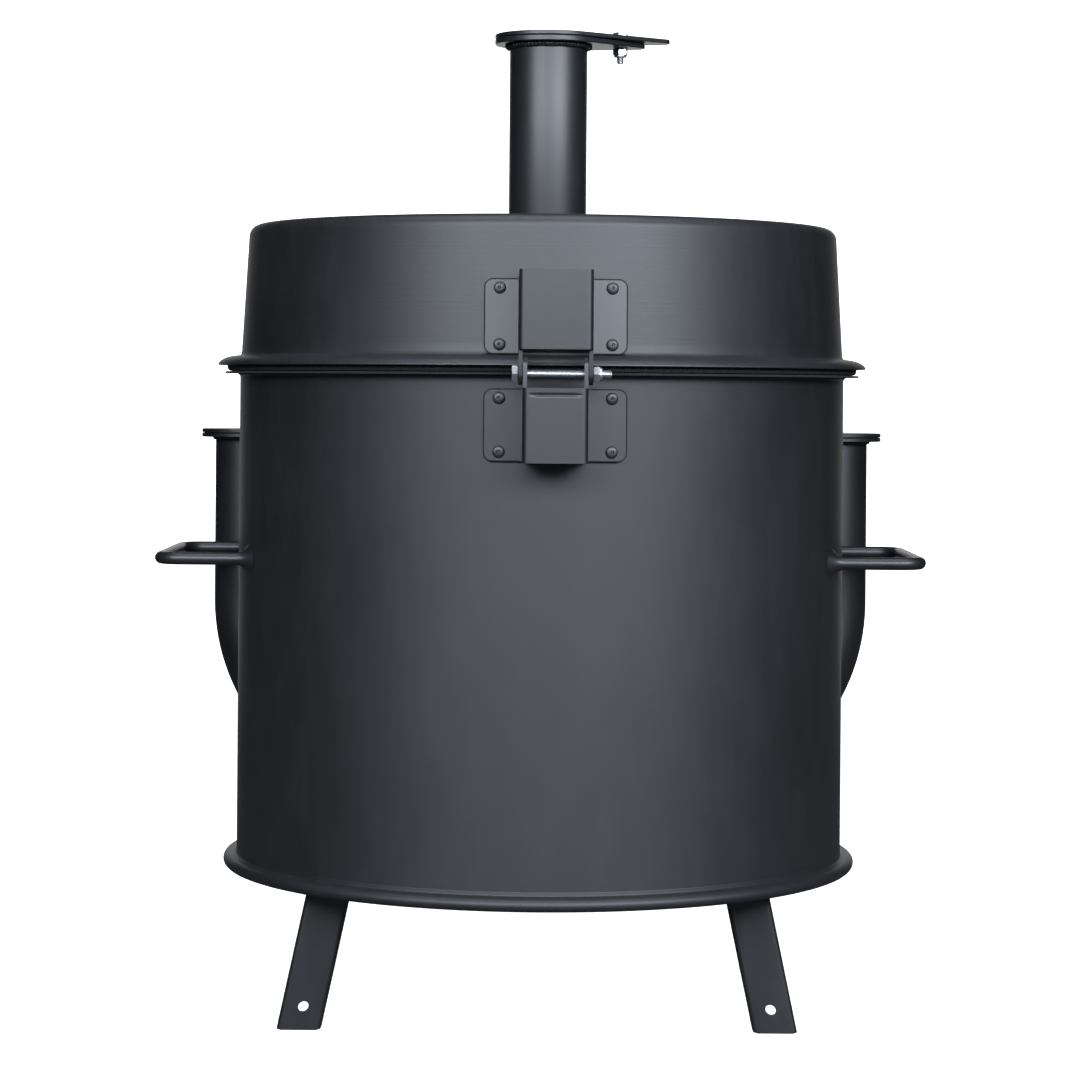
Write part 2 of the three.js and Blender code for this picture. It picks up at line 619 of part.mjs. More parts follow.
// ---------------------------------------------------------------- intakes
const intakeSeatFoot = intakeTop - 2 * INTAKE_PLATE - VENT_GAP;
for (const [name, side] of [["left", 1], ["right", -1]]) {
  const group = new THREE.Group();
  const x = side * intakeRadius * Math.cos(INTAKE_AZIMUTH);
  const y = -intakeRadius * Math.sin(INTAKE_AZIMUTH);
  group.position.set(x, y, intakeTop);
  // the tab runs forward, square to the line from the drum's axis
  group.rotation.z = side > 0 ? -Math.PI / 2 - INTAKE_AZIMUTH : -Math.PI / 2 + INTAKE_AZIMUTH;
  smoker.add(group);
  vent(INTAKE_PLATE, INTAKE_PLATE, group, {
    seat: `intake_seat_${name}`,
    damper: `intake_damper_${name}`,
    bolt: `intake_bolt_${name}`,
    nut: `intake_nut_${name}`,
  });
  const route = intakeRoute(side, intakeSeatFoot - GAP);
  const bored = intakeRoute(side, intakeSeatFoot + CUT);
  const pipe = solid(bar(route, PIPE_RADIUS, PIPE_FACETS)).subtract(solid(bar(bored, pipeBore, PIPE_FACETS)));
  piece(`intake_pipe_${name}`, pipe.intersect(beyondDrum), powderCoat);
}

// ---------------------------------------------------------------- seal
// A rope ring that lies on the drum's flange and fills the hollow of the lid's.
const sealOuter = DRUM_RADIUS + DRUM_FLANGE_REACH - SEAL_INSET;
const sealShare = (sealOuter - lidWallRadius + SHEET) / LID_FLANGE_REACH; // its edge across that hollow
const sealTop = lidFoot + (LID_FLANGE_RISE - SHEET) * Math.sqrt(1 - sealShare ** 2) - 2 * GAP;
piece("lid_seal", tube(sealOuter, sealOuter - SEAL_WIDTH, drumTop + GAP, sealTop, FACETS), sealFelt);

// ---------------------------------------------------------------- lid
// One spun sheet: a rounded flange, a tapering wall, a tight corner and a slightly crowned top.
const lid = new THREE.Group();
smoker.add(lid);
const cornerRadius = lidRadius(lidShoulder - LID_CORNER);

// The flange's quarter curve from its tip up and in to the wall, upright at the tip and level at the wall.
// An inset face lies that far inside it.
function flange(inset) {
  const steps = 4;
  const root = lidWallRadius - inset;
  const rise = LID_FLANGE_RISE - inset;
  return Array.from({ length: steps + 1 }, (_, i) => {
    const s = ((i / steps) * Math.PI) / 2;
    return [root + LID_FLANGE_REACH * Math.cos(s), lidFoot + rise * Math.sin(s)];
  });
}
const lidOutside = [
  ...flange(0),
  ...arc(cornerRadius - LID_CORNER, lidShoulder - LID_CORNER, LID_CORNER, 0, 85, 3),
  [0, lidShoulder + LID_CROWN],
];
const lidInside = [
  [0, lidShoulder + LID_CROWN - SHEET],
  ...arc(cornerRadius - LID_CORNER, lidShoulder - LID_CORNER, LID_CORNER - SHEET, 85, 0, 2),
  ...flange(SHEET).reverse(),
];
const chimneyFoot = lidShoulder - SHEET - CHIMNEY_INSIDE;

// A geometry built along Z outwards from the lid's wall, laid on the wall's middle at the front.
function onLidFront(geometry, z) {
  return placed(geometry, [0, -lidRadius(z), z], [Math.PI / 2 - LID_TAPER, 0, 0]);
}

let lidShell = solid(turned([...lidInside, ...lidOutside]));
lidShell = lidShell.subtract(placed(
  rod(PIPE_RADIUS + GAP, chimneyFoot, lidShoulder + 2 * LID_CROWN, PIPE_FACETS), [CHIMNEY.x, CHIMNEY.y, 0]));
lidShell = lidShell.subtract(onLidFront(rod(DIAL_BUSH + 2 * GAP, -CUT, CUT), dialLevel));
eachRivet(upperRivets, lidRadius, (place) => {
  lidShell = lidShell.subtract(onWall(rivetHoleRod, place, LID_TAPER));
});
piece("lid_shell", lidShell, powderCoat, lid);

// ---------------------------------------------------------------- chimney
const chimneySeatFoot = chimneyTop - CHIMNEY_PLATE - VENT_GAP - CHIMNEY_SEAT;
const chimney = new THREE.Group();
chimney.position.set(CHIMNEY.x, CHIMNEY.y, 0);
lid.add(chimney);
piece("chimney_pipe", tube(PIPE_RADIUS, pipeBore, chimneyFoot, chimneySeatFoot - GAP, PIPE_FACETS),
  powderCoat, chimney);
const chimneyVent = new THREE.Group();
chimneyVent.position.z = chimneyTop;
chimneyVent.rotation.z = CHIMNEY_TAB_AZIMUTH;
chimney.add(chimneyVent);
vent(CHIMNEY_SEAT, CHIMNEY_PLATE, chimneyVent, {
  seat: "chimney_seat",
  damper: "chimney_damper",
  bolt: "chimney_bolt",
  nut: "chimney_nut",
});

// ---------------------------------------------------------------- hinge
// Each bracket is folded from one plate: two wings riveted to the wall and a hat between them, whose
// sides run on past its web as ears for the hinge bolt.
function hat(half, z0, z1) {
  const inner = Math.max(HINGE_BEND - HINGE_PLATE, FOLD_MIN);
  const outer = hingeReach;
  const web = outer - HINGE_PLATE;
  const root = DRUM_RADIUS - HINGE_REACH / 2; // inside the wall, which trims it
  return placed(prism([
    [-half, root],
    [-half + HINGE_PLATE, root],
    ...arc(-half + HINGE_PLATE + inner, web - inner, inner, 180, 90, 2),
    ...arc(half - HINGE_PLATE - inner, web - inner, inner, 90, 0, 2),
    [half - HINGE_PLATE, root],
    [half, root],
    ...arc(half - HINGE_BEND, outer - HINGE_BEND, HINGE_BEND, 0, 90, 3),
    ...arc(-half + HINGE_BEND, outer - HINGE_BEND, HINGE_BEND, 90, 180, 3),
  ], z0, z1), [HINGE_X, 0, 0]);
}

// Both ears: round-ended plates at the hat's sides, from the bolt to a level inside the hat.
function ears(half, end, into) {
  const tip = end > into ? end - HINGE_EAR : end + HINGE_EAR;
  const rise = end > into ? 1 : -1;
  const outline = [
    ...arc(hingeAxis.y, tip, HINGE_EAR, rise > 0 ? 0 : 180, rise > 0 ? 180 : 360, 6),
    [hingeAxis.y - rise * HINGE_EAR, into],
    [hingeAxis.y + rise * HINGE_EAR, into],
  ];
  let both = null;
  for (const side of [-1, 1]) {
    const x = HINGE_X + side * (half - HINGE_PLATE / 2);
    // a prism of [y, z] points, thick along X
    const plate = prism(outline, -HINGE_PLATE / 2, HINGE_PLATE / 2);
    const standing = new THREE.Matrix4().makeBasis(
      new THREE.Vector3(0, 1, 0), new THREE.Vector3(0, 0, 1), new THREE.Vector3(1, 0, 0));
    const ear = solid(plate.applyMatrix4(standing).translate(x, 0, 0));
    both = both ? both.add(ear) : ear;
  }
  return both;
}

// Two wings that lie on the wall, with round outer corners, clear of the hat's hollow.
function wings(half, z0, z1, radiusFoot, radiusTop) {
  const skin = solid(turned([
    [radiusFoot + GAP, z0], [radiusFoot + GAP + HINGE_PLATE, z0],
    [radiusTop + GAP + HINGE_PLATE, z1], [radiusTop + GAP, z1],
  ]));
  const outline = roundedRectangle(-HINGE_WIDTH / 2, z0, HINGE_WIDTH / 2, z1, HINGE_CORNER);
  const window = placed(prism(outline, 0, hingeReach), [HINGE_X, hingeReach, 0], [Math.PI / 2, 0, 0]);
  const hollow = half - HINGE_PLATE;
  const middle = solid(block(
    [HINGE_X - hollow, 0, z0 - CUT], [HINGE_X + hollow, hingeReach, z1 + CUT]));
  return skin.intersect(window).subtract(middle);
}

// A hole through both ears for the hinge bolt.
function hingeBore() {
  const hole = rod(HINGE_BOLT + HINGE_BOLT_CLEARANCE, -HINGE_WIDTH, HINGE_WIDTH);
  return placed(hole, [HINGE_X, hingeAxis.y, hingeAxis.z], [0, Math.PI / 2, 0]);
}

let upperBracket = hat(upperHat.half, upperHat.web, upperHat.top)
  .intersect(outside(
    lidRadius(upperHat.web), lidRadius(upperHat.top), upperHat.web, upperHat.top))
  .add(ears(upperHat.half, hingeAxis.z - HINGE_EAR, upperHat.web + HINGE_EAR))
  .add(wings(upperHat.half, upperHat.wingFoot, upperHat.wingTop,
    lidRadius(upperHat.wingFoot), lidRadius(upperHat.wingTop)))
  .subtract(hingeBore());
let lowerBracket = hat(lowerHat.half, lowerHat.foot, lowerHat.top)
  .intersect(outside(DRUM_RADIUS, DRUM_RADIUS, lowerHat.foot, lowerHat.top))
  .add(ears(lowerHat.half, lowerHat.ear, lowerHat.top - HINGE_EAR))
  .add(wings(lowerHat.half, lowerHat.foot, lowerHat.wingTop, DRUM_RADIUS, DRUM_RADIUS))
  .subtract(hingeBore());

// One rivet along Z, its head's seat at the wing's outer face and its tail inside the wall.
function rivet() {
  const seat = GAP + HINGE_PLATE + GAP;
  const tail = -SHEET - GAP - facetSag;
  return turned([
    [0, tail - RIVET_TAIL_HEIGHT],
    [RIVET_TAIL, tail - RIVET_TAIL_HEIGHT],
    [RIVET_TAIL, tail],
    [RIVET_SHANK, tail],
    [RIVET_SHANK, seat],
    [RIVET_HEAD, seat],
    [RIVET_HEAD * RIVET_DOME, seat + RIVET_HEAD_HEIGHT * RIVET_DOME],
    [0, seat + RIVET_HEAD_HEIGHT],
  ], RIVET_FACETS);
}
eachRivet(upperRivets, lidRadius, (place) => {
  upperBracket = upperBracket.subtract(onWall(rivetHoleRod, place, LID_TAPER));
  piece(`hinge_rivet_upper_${place.number}`, onWall(rivet(), place, LID_TAPER), powderCoat, lid);
});
eachRivet(lowerRivets, drumWallRadius, (place) => {
  lowerBracket = lowerBracket.subtract(onWall(rivetHoleRod, place, 0));
  piece(`hinge_rivet_lower_${place.number}`, onWall(rivet(), place, 0), powderCoat);
});
piece("hinge_bracket_upper", upperBracket, powderCoat, lid);
piece("hinge_bracket_lower", lowerBracket, powderCoat);

// The bolt lies along X, with its head on the left and its nut on the right.
const hingeFace = upperHat.half + GAP;
const hingeBolt = hexBolt(HINGE_BOLT, 2 * hingeFace + HINGE_NUT + HINGE_THREAD, HINGE_HEX, HINGE_HEAD);
const along = [0, 90, 0];
piece("hinge_bolt", hingeBolt.rotate(along)
  .translate([HINGE_X + hingeFace, hingeAxis.y, hingeAxis.z]), zinc);
piece("hinge_nut", hexNut(HINGE_BOLT, HINGE_HEX, HINGE_NUT).rotate(along)
  .translate([HINGE_X - hingeFace - HINGE_NUT, hingeAxis.y, hingeAxis.z]), zinc);

// ---------------------------------------------------------------- lid handle
const lidHandleWall = lidRadius(lidHandleLevel);
const lidHandleZone = HANDLE_COLLAR + GAP;
const beyondLid = outside(
  lidRadius(lidHandleLevel - lidHandleZone), lidRadius(lidHandleLevel + lidHandleZone),
  lidHandleLevel - lidHandleZone, lidHandleLevel + lidHandleZone);
const lidHandle = barHandle(hingeReach, DRUM_RADIUS / 2, lidHandleWall)
  .rotate([0, 0, 180]).translate([0, 0, lidHandleLevel]);
piece("lid_handle", lidHandle.intersect(beyondLid), powderCoat, lid);

// ---------------------------------------------------------------- thermometer
// A round case on the lid's front, with a dial, a needle and a glass in it, and a stem through the lid.
// Levels run outwards from the lid's wall.
const caseFoot = GAP;
const caseFront = caseFoot + DIAL_DEPTH;
const dialInner = DIAL_RADIUS - DIAL_WALL;
const dialFoot = caseFoot + DIAL_WALL + DIAL_SPINDLE;
const dialFace = dialFoot + DIAL_SHEET;
const lensTop = caseFront - DIAL_LIP - GAP;
const nutSeat = -SHEET - facetSag - 2 * GAP;
const nutFoot = nutSeat - DIAL_NUT_HEIGHT;
piece("thermometer_case", onLidFront(turned([
  [0, caseFoot],
  [DIAL_RADIUS - 2 * DIAL_BEZEL_STEP, caseFoot],
  [DIAL_RADIUS - DIAL_BEZEL_STEP, caseFront - DIAL_BEZEL - DIAL_BEZEL_STEP],
  [DIAL_RADIUS, caseFront - DIAL_BEZEL],
  [DIAL_RADIUS, caseFront],
  [dialInner - DIAL_LIP, caseFront],
  [dialInner - DIAL_LIP, caseFront - DIAL_LIP],
  [dialInner, caseFront - DIAL_LIP],
  [dialInner, caseFoot + DIAL_WALL],
  [0, caseFoot + DIAL_WALL],
], DIAL_FACETS), dialLevel), zinc, lid);
piece("thermometer_dial", onLidFront(
  tube(dialInner - GAP, DIAL_PIVOT + GAP, dialFoot, dialFace, DIAL_FACETS), dialLevel), dialWhite, lid);
piece("thermometer_lens", onLidFront(
  rod(dialInner - GAP, lensTop - LENS_SHEET, lensTop, DIAL_FACETS), dialLevel), lensGlass, lid);

// The needle points down and left when the smoker is cold, and turns clockwise as it warms.
const needleFoot = dialFace + GAP;
const needleReach = dialInner - NEEDLE_CLEARANCE;
const needleOutline = [
  [-NEEDLE_WIDTH / 2, 0],
  [-NEEDLE_WIDTH / 2, -needleReach / 3],
  [NEEDLE_WIDTH / 2, -needleReach / 3],
  [NEEDLE_WIDTH / 2, 0],
  [NEEDLE_TIP / 2, needleReach],
  [-NEEDLE_TIP / 2, needleReach],
];
const needle = solid(prism(needleOutline, needleFoot, needleFoot + NEEDLE_SHEET))
  .add(solid(rod(NEEDLE_HUB, needleFoot, needleFoot + NEEDLE_HUB_HEIGHT)))
  .add(solid(rod(DIAL_PIVOT, dialFoot - DIAL_SPINDLE / 2, needleFoot + NEEDLE_SHEET, DIAL_STEM_FACETS)));
piece("thermometer_needle", onLidFront(
  geometryOf(needle.rotate([0, 0, NEEDLE_COLD])), dialLevel), needleRed, lid);

const stem = solid(rod(DIAL_BUSH, nutFoot - DIAL_BUSH_END, 0))
  .add(solid(rod(DIAL_STEM, -DIAL_STEM_LENGTH, -GAP, DIAL_STEM_FACETS)));
piece("thermometer_stem", onLidFront(geometryOf(stem), dialLevel), zinc, lid);
piece("thermometer_nut", onLidFront(
  geometryOf(hexNut(DIAL_BUSH, DIAL_NUT, DIAL_NUT_HEIGHT).translate([0, 0, nutFoot])), dialLevel), zinc, lid);

// ---------------------------------------------------------------- cooking grate
// Rods across a round rim, level with its top, and ties across them underneath.
function rodGrate(radius, rim, rodRadius, pitch, foot, ties, facets) {
  const centre = radius - rim;
  const rodLevel = foot + 2 * rim - rodRadius;
  const rows = Math.floor((centre - pitch / 2) / pitch);
  let grate = solid(turned(arc(centre, foot + rim, rim, 0, 300, 5), facets));
  for (let row = -rows; row <= rows; row++) {
    const x = row * pitch;
    const half = Math.sqrt(centre ** 2 - x ** 2);
    const cross = rod(rodRadius, -half, half, GRATE_ROD_FACETS);
    grate = grate.add(placed(cross, [x, 0, rodLevel], [Math.PI / 2, 0, 0]));
  }
  for (const y of ties) {
    const half = Math.sqrt(centre ** 2 - y ** 2);
    const tie = rod(rodRadius, -half, half, GRATE_ROD_FACETS);
    grate = grate.add(placed(tie, [0, y, foot + rodRadius], [0, Math.PI / 2, 0]));
  }
  return grate;
}
piece("cooking_grate", rodGrate(
  drumInside - GRATE_CLEARANCE, GRATE_RIM, GRATE_ROD, GRATE_PITCH,
  grateLevel, [-GRATE_TIE, GRATE_TIE], GRATE_FACETS), bareSteel);

// Four folded lugs are welded inside the wall, and the grate's rim lies on their shelves.
const lugHalf = LUG.width / 2;
const lugBack = Math.sqrt(drumInside ** 2 - lugHalf ** 2) - facetSag - GAP;
const lugTop = grateLevel - GAP;
[45, 135, 225, 315].forEach((azimuth, i) => {
  const folded = prism([
    [lugBack - LUG.depth, lugTop - LUG.plate],
    [lugBack - LUG.plate, lugTop - LUG.plate],
    [lugBack - LUG.plate, lugTop - LUG.drop],
    [lugBack, lugTop - LUG.drop],
    [lugBack, lugTop],
    [lugBack - LUG.depth, lugTop],
  ], -lugHalf, lugHalf);
  const upright = placed(folded, [0, 0, 0], [Math.PI / 2, 0, 0]);
  piece(`grate_lug_${i + 1}`, upright.rotate([0, 0, azimuth]), powderCoat);
});

// ---------------------------------------------------------------- ash pan and charcoal basket
const panFoot = floorTop + GAP;
const panTop = panFoot + PAN_SHEET;
piece("ash_pan", turned([
  [0, panFoot],
  [PAN_RADIUS - PAN_FLARE, panFoot],
  [PAN_RADIUS, panFoot + PAN_RIM],
  [PAN_RADIUS - PAN_SHEET, panFoot + PAN_RIM],
  [PAN_RADIUS - PAN_FLARE - PAN_SHEET, panTop],
  [0, panTop],
], PAN_FACETS), basketSteel);

// The basket's wall stands on four legs of the same sheet, is pierced by two rows of slots, and is
// turned in at its foot to carry the fire grate.
const basketFoot = panTop + GAP + BASKET_LEG;
const basketTop = basketFoot + BASKET_HEIGHT;
const basketInside = BASKET_RADIUS - BASKET_SHEET;
let basket = solid(turned([
  [basketInside - BASKET_SHELF, basketFoot],
  [BASKET_RADIUS, basketFoot],
  [BASKET_RADIUS, basketTop],
  [basketInside, basketTop],
  [basketInside, basketFoot + BASKET_SHEET],
  [basketInside - BASKET_SHELF, basketFoot + BASKET_SHEET],
], BASKET_FACETS));
const legBand = solid(tube(
  BASKET_RADIUS, basketInside, panTop + GAP, basketFoot + BASKET_SHEET, BASKET_FACETS));
for (const azimuth of [0, 90, 180, 270]) {
  const strip = block([0, -BASKET_LEG_WIDTH / 2, 0], [2 * BASKET_RADIUS, BASKET_LEG_WIDTH / 2, basketTop]);
  basket = basket.add(legBand.intersect(solid(strip).rotate([0, 0, azimuth])));
}
const slotHalf = (BASKET_HEIGHT * BASKET_SLOT_SHARE) / 2;
for (const share of BASKET_SLOT_ROWS) {
  const middle = basketFoot + BASKET_HEIGHT * share;
  for (let i = 0; i < BASKET_SLOTS; i++) {
    const slot = block(
      [BASKET_RADIUS - CUT, -BASKET_SLOT_WIDTH / 2, middle - slotHalf],
      [BASKET_RADIUS + CUT, BASKET_SLOT_WIDTH / 2, middle + slotHalf]);
    basket = basket.subtract(solid(slot).rotate([0, 0, ((i + 0.5) * 360) / BASKET_SLOTS]));
  }
}
piece("charcoal_basket", basket, basketSteel);
const basketClear = basketInside * Math.cos(Math.PI / BASKET_FACETS);
piece("fire_grate", rodGrate(
  basketClear - GAP, BASKET_ROD, BASKET_ROD, BASKET_ROD_PITCH,
  basketFoot + BASKET_SHEET + GAP, [0], BASKET_FACETS), basketSteel);

// The basket's handle is a bar bent over it and welded inside its wall.
const bailReach = basketClear - GAP - BASKET_BAIL;
const bailTop = basketTop + BASKET_HANDLE_RISE - BASKET_BAIL;
const bail = bentRoute([
  [0, -bailReach, basketTop - BASKET_HANDLE_ROOT], [0, -bailReach, bailTop],
  [0, bailReach, bailTop], [0, bailReach, basketTop - BASKET_HANDLE_ROOT],
], BASKET_HANDLE_BEND);
piece("basket_handle", bar(bail, BASKET_BAIL), basketSteel);

export default smoker;
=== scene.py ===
import math

import bmesh
import bpy
import numpy as np
from mathutils import Matrix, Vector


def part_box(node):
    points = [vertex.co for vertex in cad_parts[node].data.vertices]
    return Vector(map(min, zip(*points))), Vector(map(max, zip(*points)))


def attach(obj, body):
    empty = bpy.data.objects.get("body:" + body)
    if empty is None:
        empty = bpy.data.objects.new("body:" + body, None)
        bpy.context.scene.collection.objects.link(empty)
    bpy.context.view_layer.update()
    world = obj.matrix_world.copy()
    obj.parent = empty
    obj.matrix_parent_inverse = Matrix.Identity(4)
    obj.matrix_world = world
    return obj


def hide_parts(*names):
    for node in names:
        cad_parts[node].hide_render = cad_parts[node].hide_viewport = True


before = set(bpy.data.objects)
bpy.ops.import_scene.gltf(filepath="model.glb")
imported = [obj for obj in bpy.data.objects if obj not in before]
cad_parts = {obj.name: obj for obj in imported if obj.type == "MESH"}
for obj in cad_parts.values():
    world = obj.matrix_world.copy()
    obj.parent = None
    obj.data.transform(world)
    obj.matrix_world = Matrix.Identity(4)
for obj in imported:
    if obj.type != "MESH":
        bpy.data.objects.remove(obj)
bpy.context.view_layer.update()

# ---- The drum's wall ----
# Steel sheet rolled to a cylinder and seam welded, with its mouth turned out as a flange for the lid
# to shut on. A round hole low on each side lets an air intake in. The whole smoker is coated in satin
# black powder, which bakes to a skin of very fine dimples.
DRUM_RADIUS = 0.2921
DRUM_SHEET = 0.002
FLANGE_BEND = 0.004
CRIMP_LEVEL = 0.1452  # where the wall meets the bead that is rolled round its foot
WALL_SIDES = 192
SOOT_DROP, SOOT_EDGE = 0.0035, 0.0008  # where the smoke's stain starts below the flange, and fades
COAT_DARK = (0.0036, 0.0039, 0.0047, 1)
COAT_LIGHT = (0.0062, 0.0066, 0.0076, 1)

drum_low, drum_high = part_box("drum_body")
DRUM_TOP = drum_high.z
FLANGE_REACH = drum_high.x


class Wire:
    """One socket of a material, so that what varies over a surface is written as plain sums."""

    def __init__(self, tree, socket):
        self.tree, self.socket = tree, socket

    def node(self, kind, settings=None, sockets=None, output=0):
        """A new node of the same material: its settings first, then a value or a wire for each socket."""
        made = self.tree.nodes.new("ShaderNode" + kind)
        for key, value in (settings or {}).items():
            setattr(made, key, value)
        for key, value in (sockets or {}).items():
            if isinstance(value, Wire):
                self.tree.links.new(value.socket, made.inputs[key])
            else:
                made.inputs[key].default_value = value
        return Wire(self.tree, made.outputs[output]) if len(made.outputs) else None

    def math(self, operation, *others):
        """A Math node on this wire and the others, which may be wires or numbers."""
        return self.node("Math", {"operation": operation}, dict(enumerate((self, *others))))

    def __add__(self, other):
        return self.math("ADD", other)

    def __sub__(self, other):
        return self.math("SUBTRACT", other)

    def __mul__(self, other):
        return self.math("MULTIPLY", other)

    def __truediv__(self, other):
        return self.math("DIVIDE", other)

    def __rsub__(self, other):
        return self.node("Math", {"operation": "SUBTRACT"}, {0: other, 1: self})

    __radd__, __rmul__ = __add__, __mul__

    def parts(self):
        """The x, y and z of a place."""
        split = self.node("SeparateXYZ", {}, {0: self}).socket.node
        return [Wire(self.tree, socket) for socket in split.outputs]

    def distance(self, *others):
        """How far off a place is whose parts along square axes are this wire and the others."""
        whole = self.node("CombineXYZ", {}, dict(enumerate((self, *others))))
        return self.node("VectorMath", {"operation": "LENGTH"}, {0: whole}, 1)

    def as_place(self):
        """A place on the first axis, as far along it as this wire says."""
        return self.node("CombineXYZ", {}, {0: self})

    def between(self, low, high):
        """0 below low, 1 above high and a straight ramp between them."""
        return self.node("MapRange", {}, {0: self, 1: low, 2: high})

    def blend(self, first, second):
        """The colour that this wire, as a share, mixes from the first towards the second."""
        return self.node("Mix", {"data_type": "RGBA"}, {0: self, 6: first, 7: second}, 2)

    def speckle(self, scale, detail=2, roughness=0.5, stretch=(1, 1, 1)):
        """Noise over a place, with its grains drawn out along the axes whose stretch is small."""
        drawn = self.node("Mapping", {}, {"Vector": self, "Scale": stretch})
        sockets = {"Vector": drawn, "Scale": scale, "Detail": detail, "Roughness": roughness}
        return self.node("TexNoise", {}, sockets)

    def relief(self, height, depth, normal=None):
        """The surface's normal where height, from 0 to 1, stands depth metres proud."""
        sockets = {"Height": height, "Distance": depth, "Strength": 1.0}
        if normal is not None:
            sockets["Normal"] = normal
        return self.node("Bump", {}, sockets)


def new_finish(name):
    """An empty material, and the places on the object that its patterns are made from."""
    finish = bpy.data.materials.new(name)
    finish.use_nodes = True
    finish.node_tree.nodes.clear()
    start = finish.node_tree.nodes.new("ShaderNodeTexCoord")
    return finish, Wire(finish.node_tree, start.outputs["Object"])


def close_finish(finish, place, sockets):
    """Puts a principled shader with the given sockets on a material."""
    shader = place.node("BsdfPrincipled", {}, sockets)
    place.node("OutputMaterial", {}, {"Surface": shader})
    return finish


def powder_coat(name, dull=0.385, dent=0.0, spun=False, sooty=None):
    """Satin black powder coat: a mottle in colour and gloss, fine dimples, and dust in faint smears.
    Dent is how deep the sheet's own slow waves are. A spun sheet keeps the rings of its forming. Smoke
    that leaks past the seal has left a matt film above the sooty level."""
    finish, place = new_finish(name)
    mottle = place.speckle(7, 3)
    smear = place.speckle(38, 5, 0.65, (1, 1, 0.35)).between(0.42, 0.78)
    grain = place.speckle(900, 2)
    color = mottle.between(0.3, 0.7).blend(COAT_DARK, COAT_LIGHT)
    dusty = (smear * 0.018).blend(color, (0.16, 0.155, 0.15, 1))
    gloss = dull + mottle * 0.03 + smear * 0.03 + grain * 0.05
    if sooty:
        gloss = gloss + place.parts()[2].between(sooty, sooty + SOOT_EDGE) * 0.5
    normal = place.relief(grain, 0.00003)
    normal = place.relief(place.speckle(260, 1), 0.00004, normal)
    if dent:
        normal = place.relief(place.speckle(5, 1, 0.4, (1, 1, 0.6)), dent, normal)
    if spun:
        x, y, level = place.parts()
        ring = (x.distance(y) - level).as_place()
        normal = place.relief(ring.speckle(420, 3, 0.6), 0.00009, normal)
    return close_finish(finish, place, {"Base Color": dusty, "Roughness": gloss, "Normal": normal})


def polar(radius, angle, *level):
    """The radius times the angle's cosine and sine, and the level where one is given."""
    return np.stack(np.broadcast_arrays(radius * np.cos(angle), radius * np.sin(angle), *level), -1)


def whole_turn(sides):
    """The angles of points at equal steps round a circle."""
    return np.arange(sides) * 2 * math.pi / sides


def grid_faces(rows, columns, rows_close=False, columns_close=False):
    """Quads between the neighbouring points of a grid that is stored row by row."""
    i = np.arange(rows if rows_close else rows - 1)[:, None]
    j = np.arange(columns if columns_close else columns - 1)[None, :]
    up, on = (i + 1) % rows, (j + 1) % columns
    corners = [i * columns + j, i * columns + on, up * columns + on, up * columns + j]
    return np.stack(corners, -1).reshape(-1, 4)


def lids(rows, columns):
    """The two faces that close a grid's first and last rows."""
    return [np.arange(columns)[None], np.arange(columns)[None] + (rows - 1) * columns]


def together(*shells):
    """Several surfaces as one set of points and faces."""
    starts = np.cumsum([0] + [points.size // 3 for points, _ in shells])
    points = np.concatenate([points.reshape(-1, 3) for points, _ in shells])
    faces = [block + start for start, (_, blocks) in zip(starts, shells) for block in blocks]
    return points, faces


def made(name, shell, outward=None):
    """An object of a surface's points and faces, with points that meet merged. A closed body's faces
    are turned out. A sheet's are turned towards outward, or what that gives at its faces' middles."""
    points, faces = shell
    mesh = bpy.data.meshes.new(name)
    corners = [face for block in faces for face in block.tolist()]
    mesh.from_pydata(points.reshape(-1, 3).tolist(), [], corners)
    whole = bmesh.new()
    whole.from_mesh(mesh)
    bmesh.ops.remove_doubles(whole, verts=whole.verts, dist=2e-6)
    bmesh.ops.recalc_face_normals(whole, faces=whole.faces)
    whole.to_mesh(mesh)
    whole.free()
    if outward is not None:
        middles, normals = np.empty(len(mesh.polygons) * 3), np.empty(len(mesh.polygons) * 3)
        mesh.polygons.foreach_get("center", middles)
        mesh.polygons.foreach_get("normal", normals)
        way = outward(middles.reshape(-1, 3)) if callable(outward) else outward
        if np.sum(normals.reshape(-1, 3) * way) < 0:
            mesh.flip_normals()
    mesh.polygons.foreach_set("use_smooth", np.ones(len(mesh.polygons), bool))
    mesh.set_sharp_from_angle(angle=math.radians(38))
    piece = bpy.data.objects.new(name, mesh)
    bpy.context.scene.collection.objects.link(piece)
    return piece


def thicken(piece, thickness, edge=0.0005):
    """Gives a sheet its thickness behind its face, and takes the sharpness off its cut edges."""
    wall = piece.modifiers.new("wall", "SOLIDIFY")
    wall.thickness, wall.offset, wall.use_even_offset = thickness, -1, True
    bevel = piece.modifiers.new("edge", "BEVEL")
    bevel.width, bevel.segments, bevel.limit_method = edge, 2, "ANGLE"
    bevel.angle_limit, bevel.harden_normals = math.radians(50), True
    return piece


def fit(piece, finish, body, slot, *nodes):
    """Coats a finished piece and puts it on its body, in place of the frame's nodes."""
    piece.data.materials.append(finish)
    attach(piece, body)
    if nodes:
        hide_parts(*nodes)
    return piece


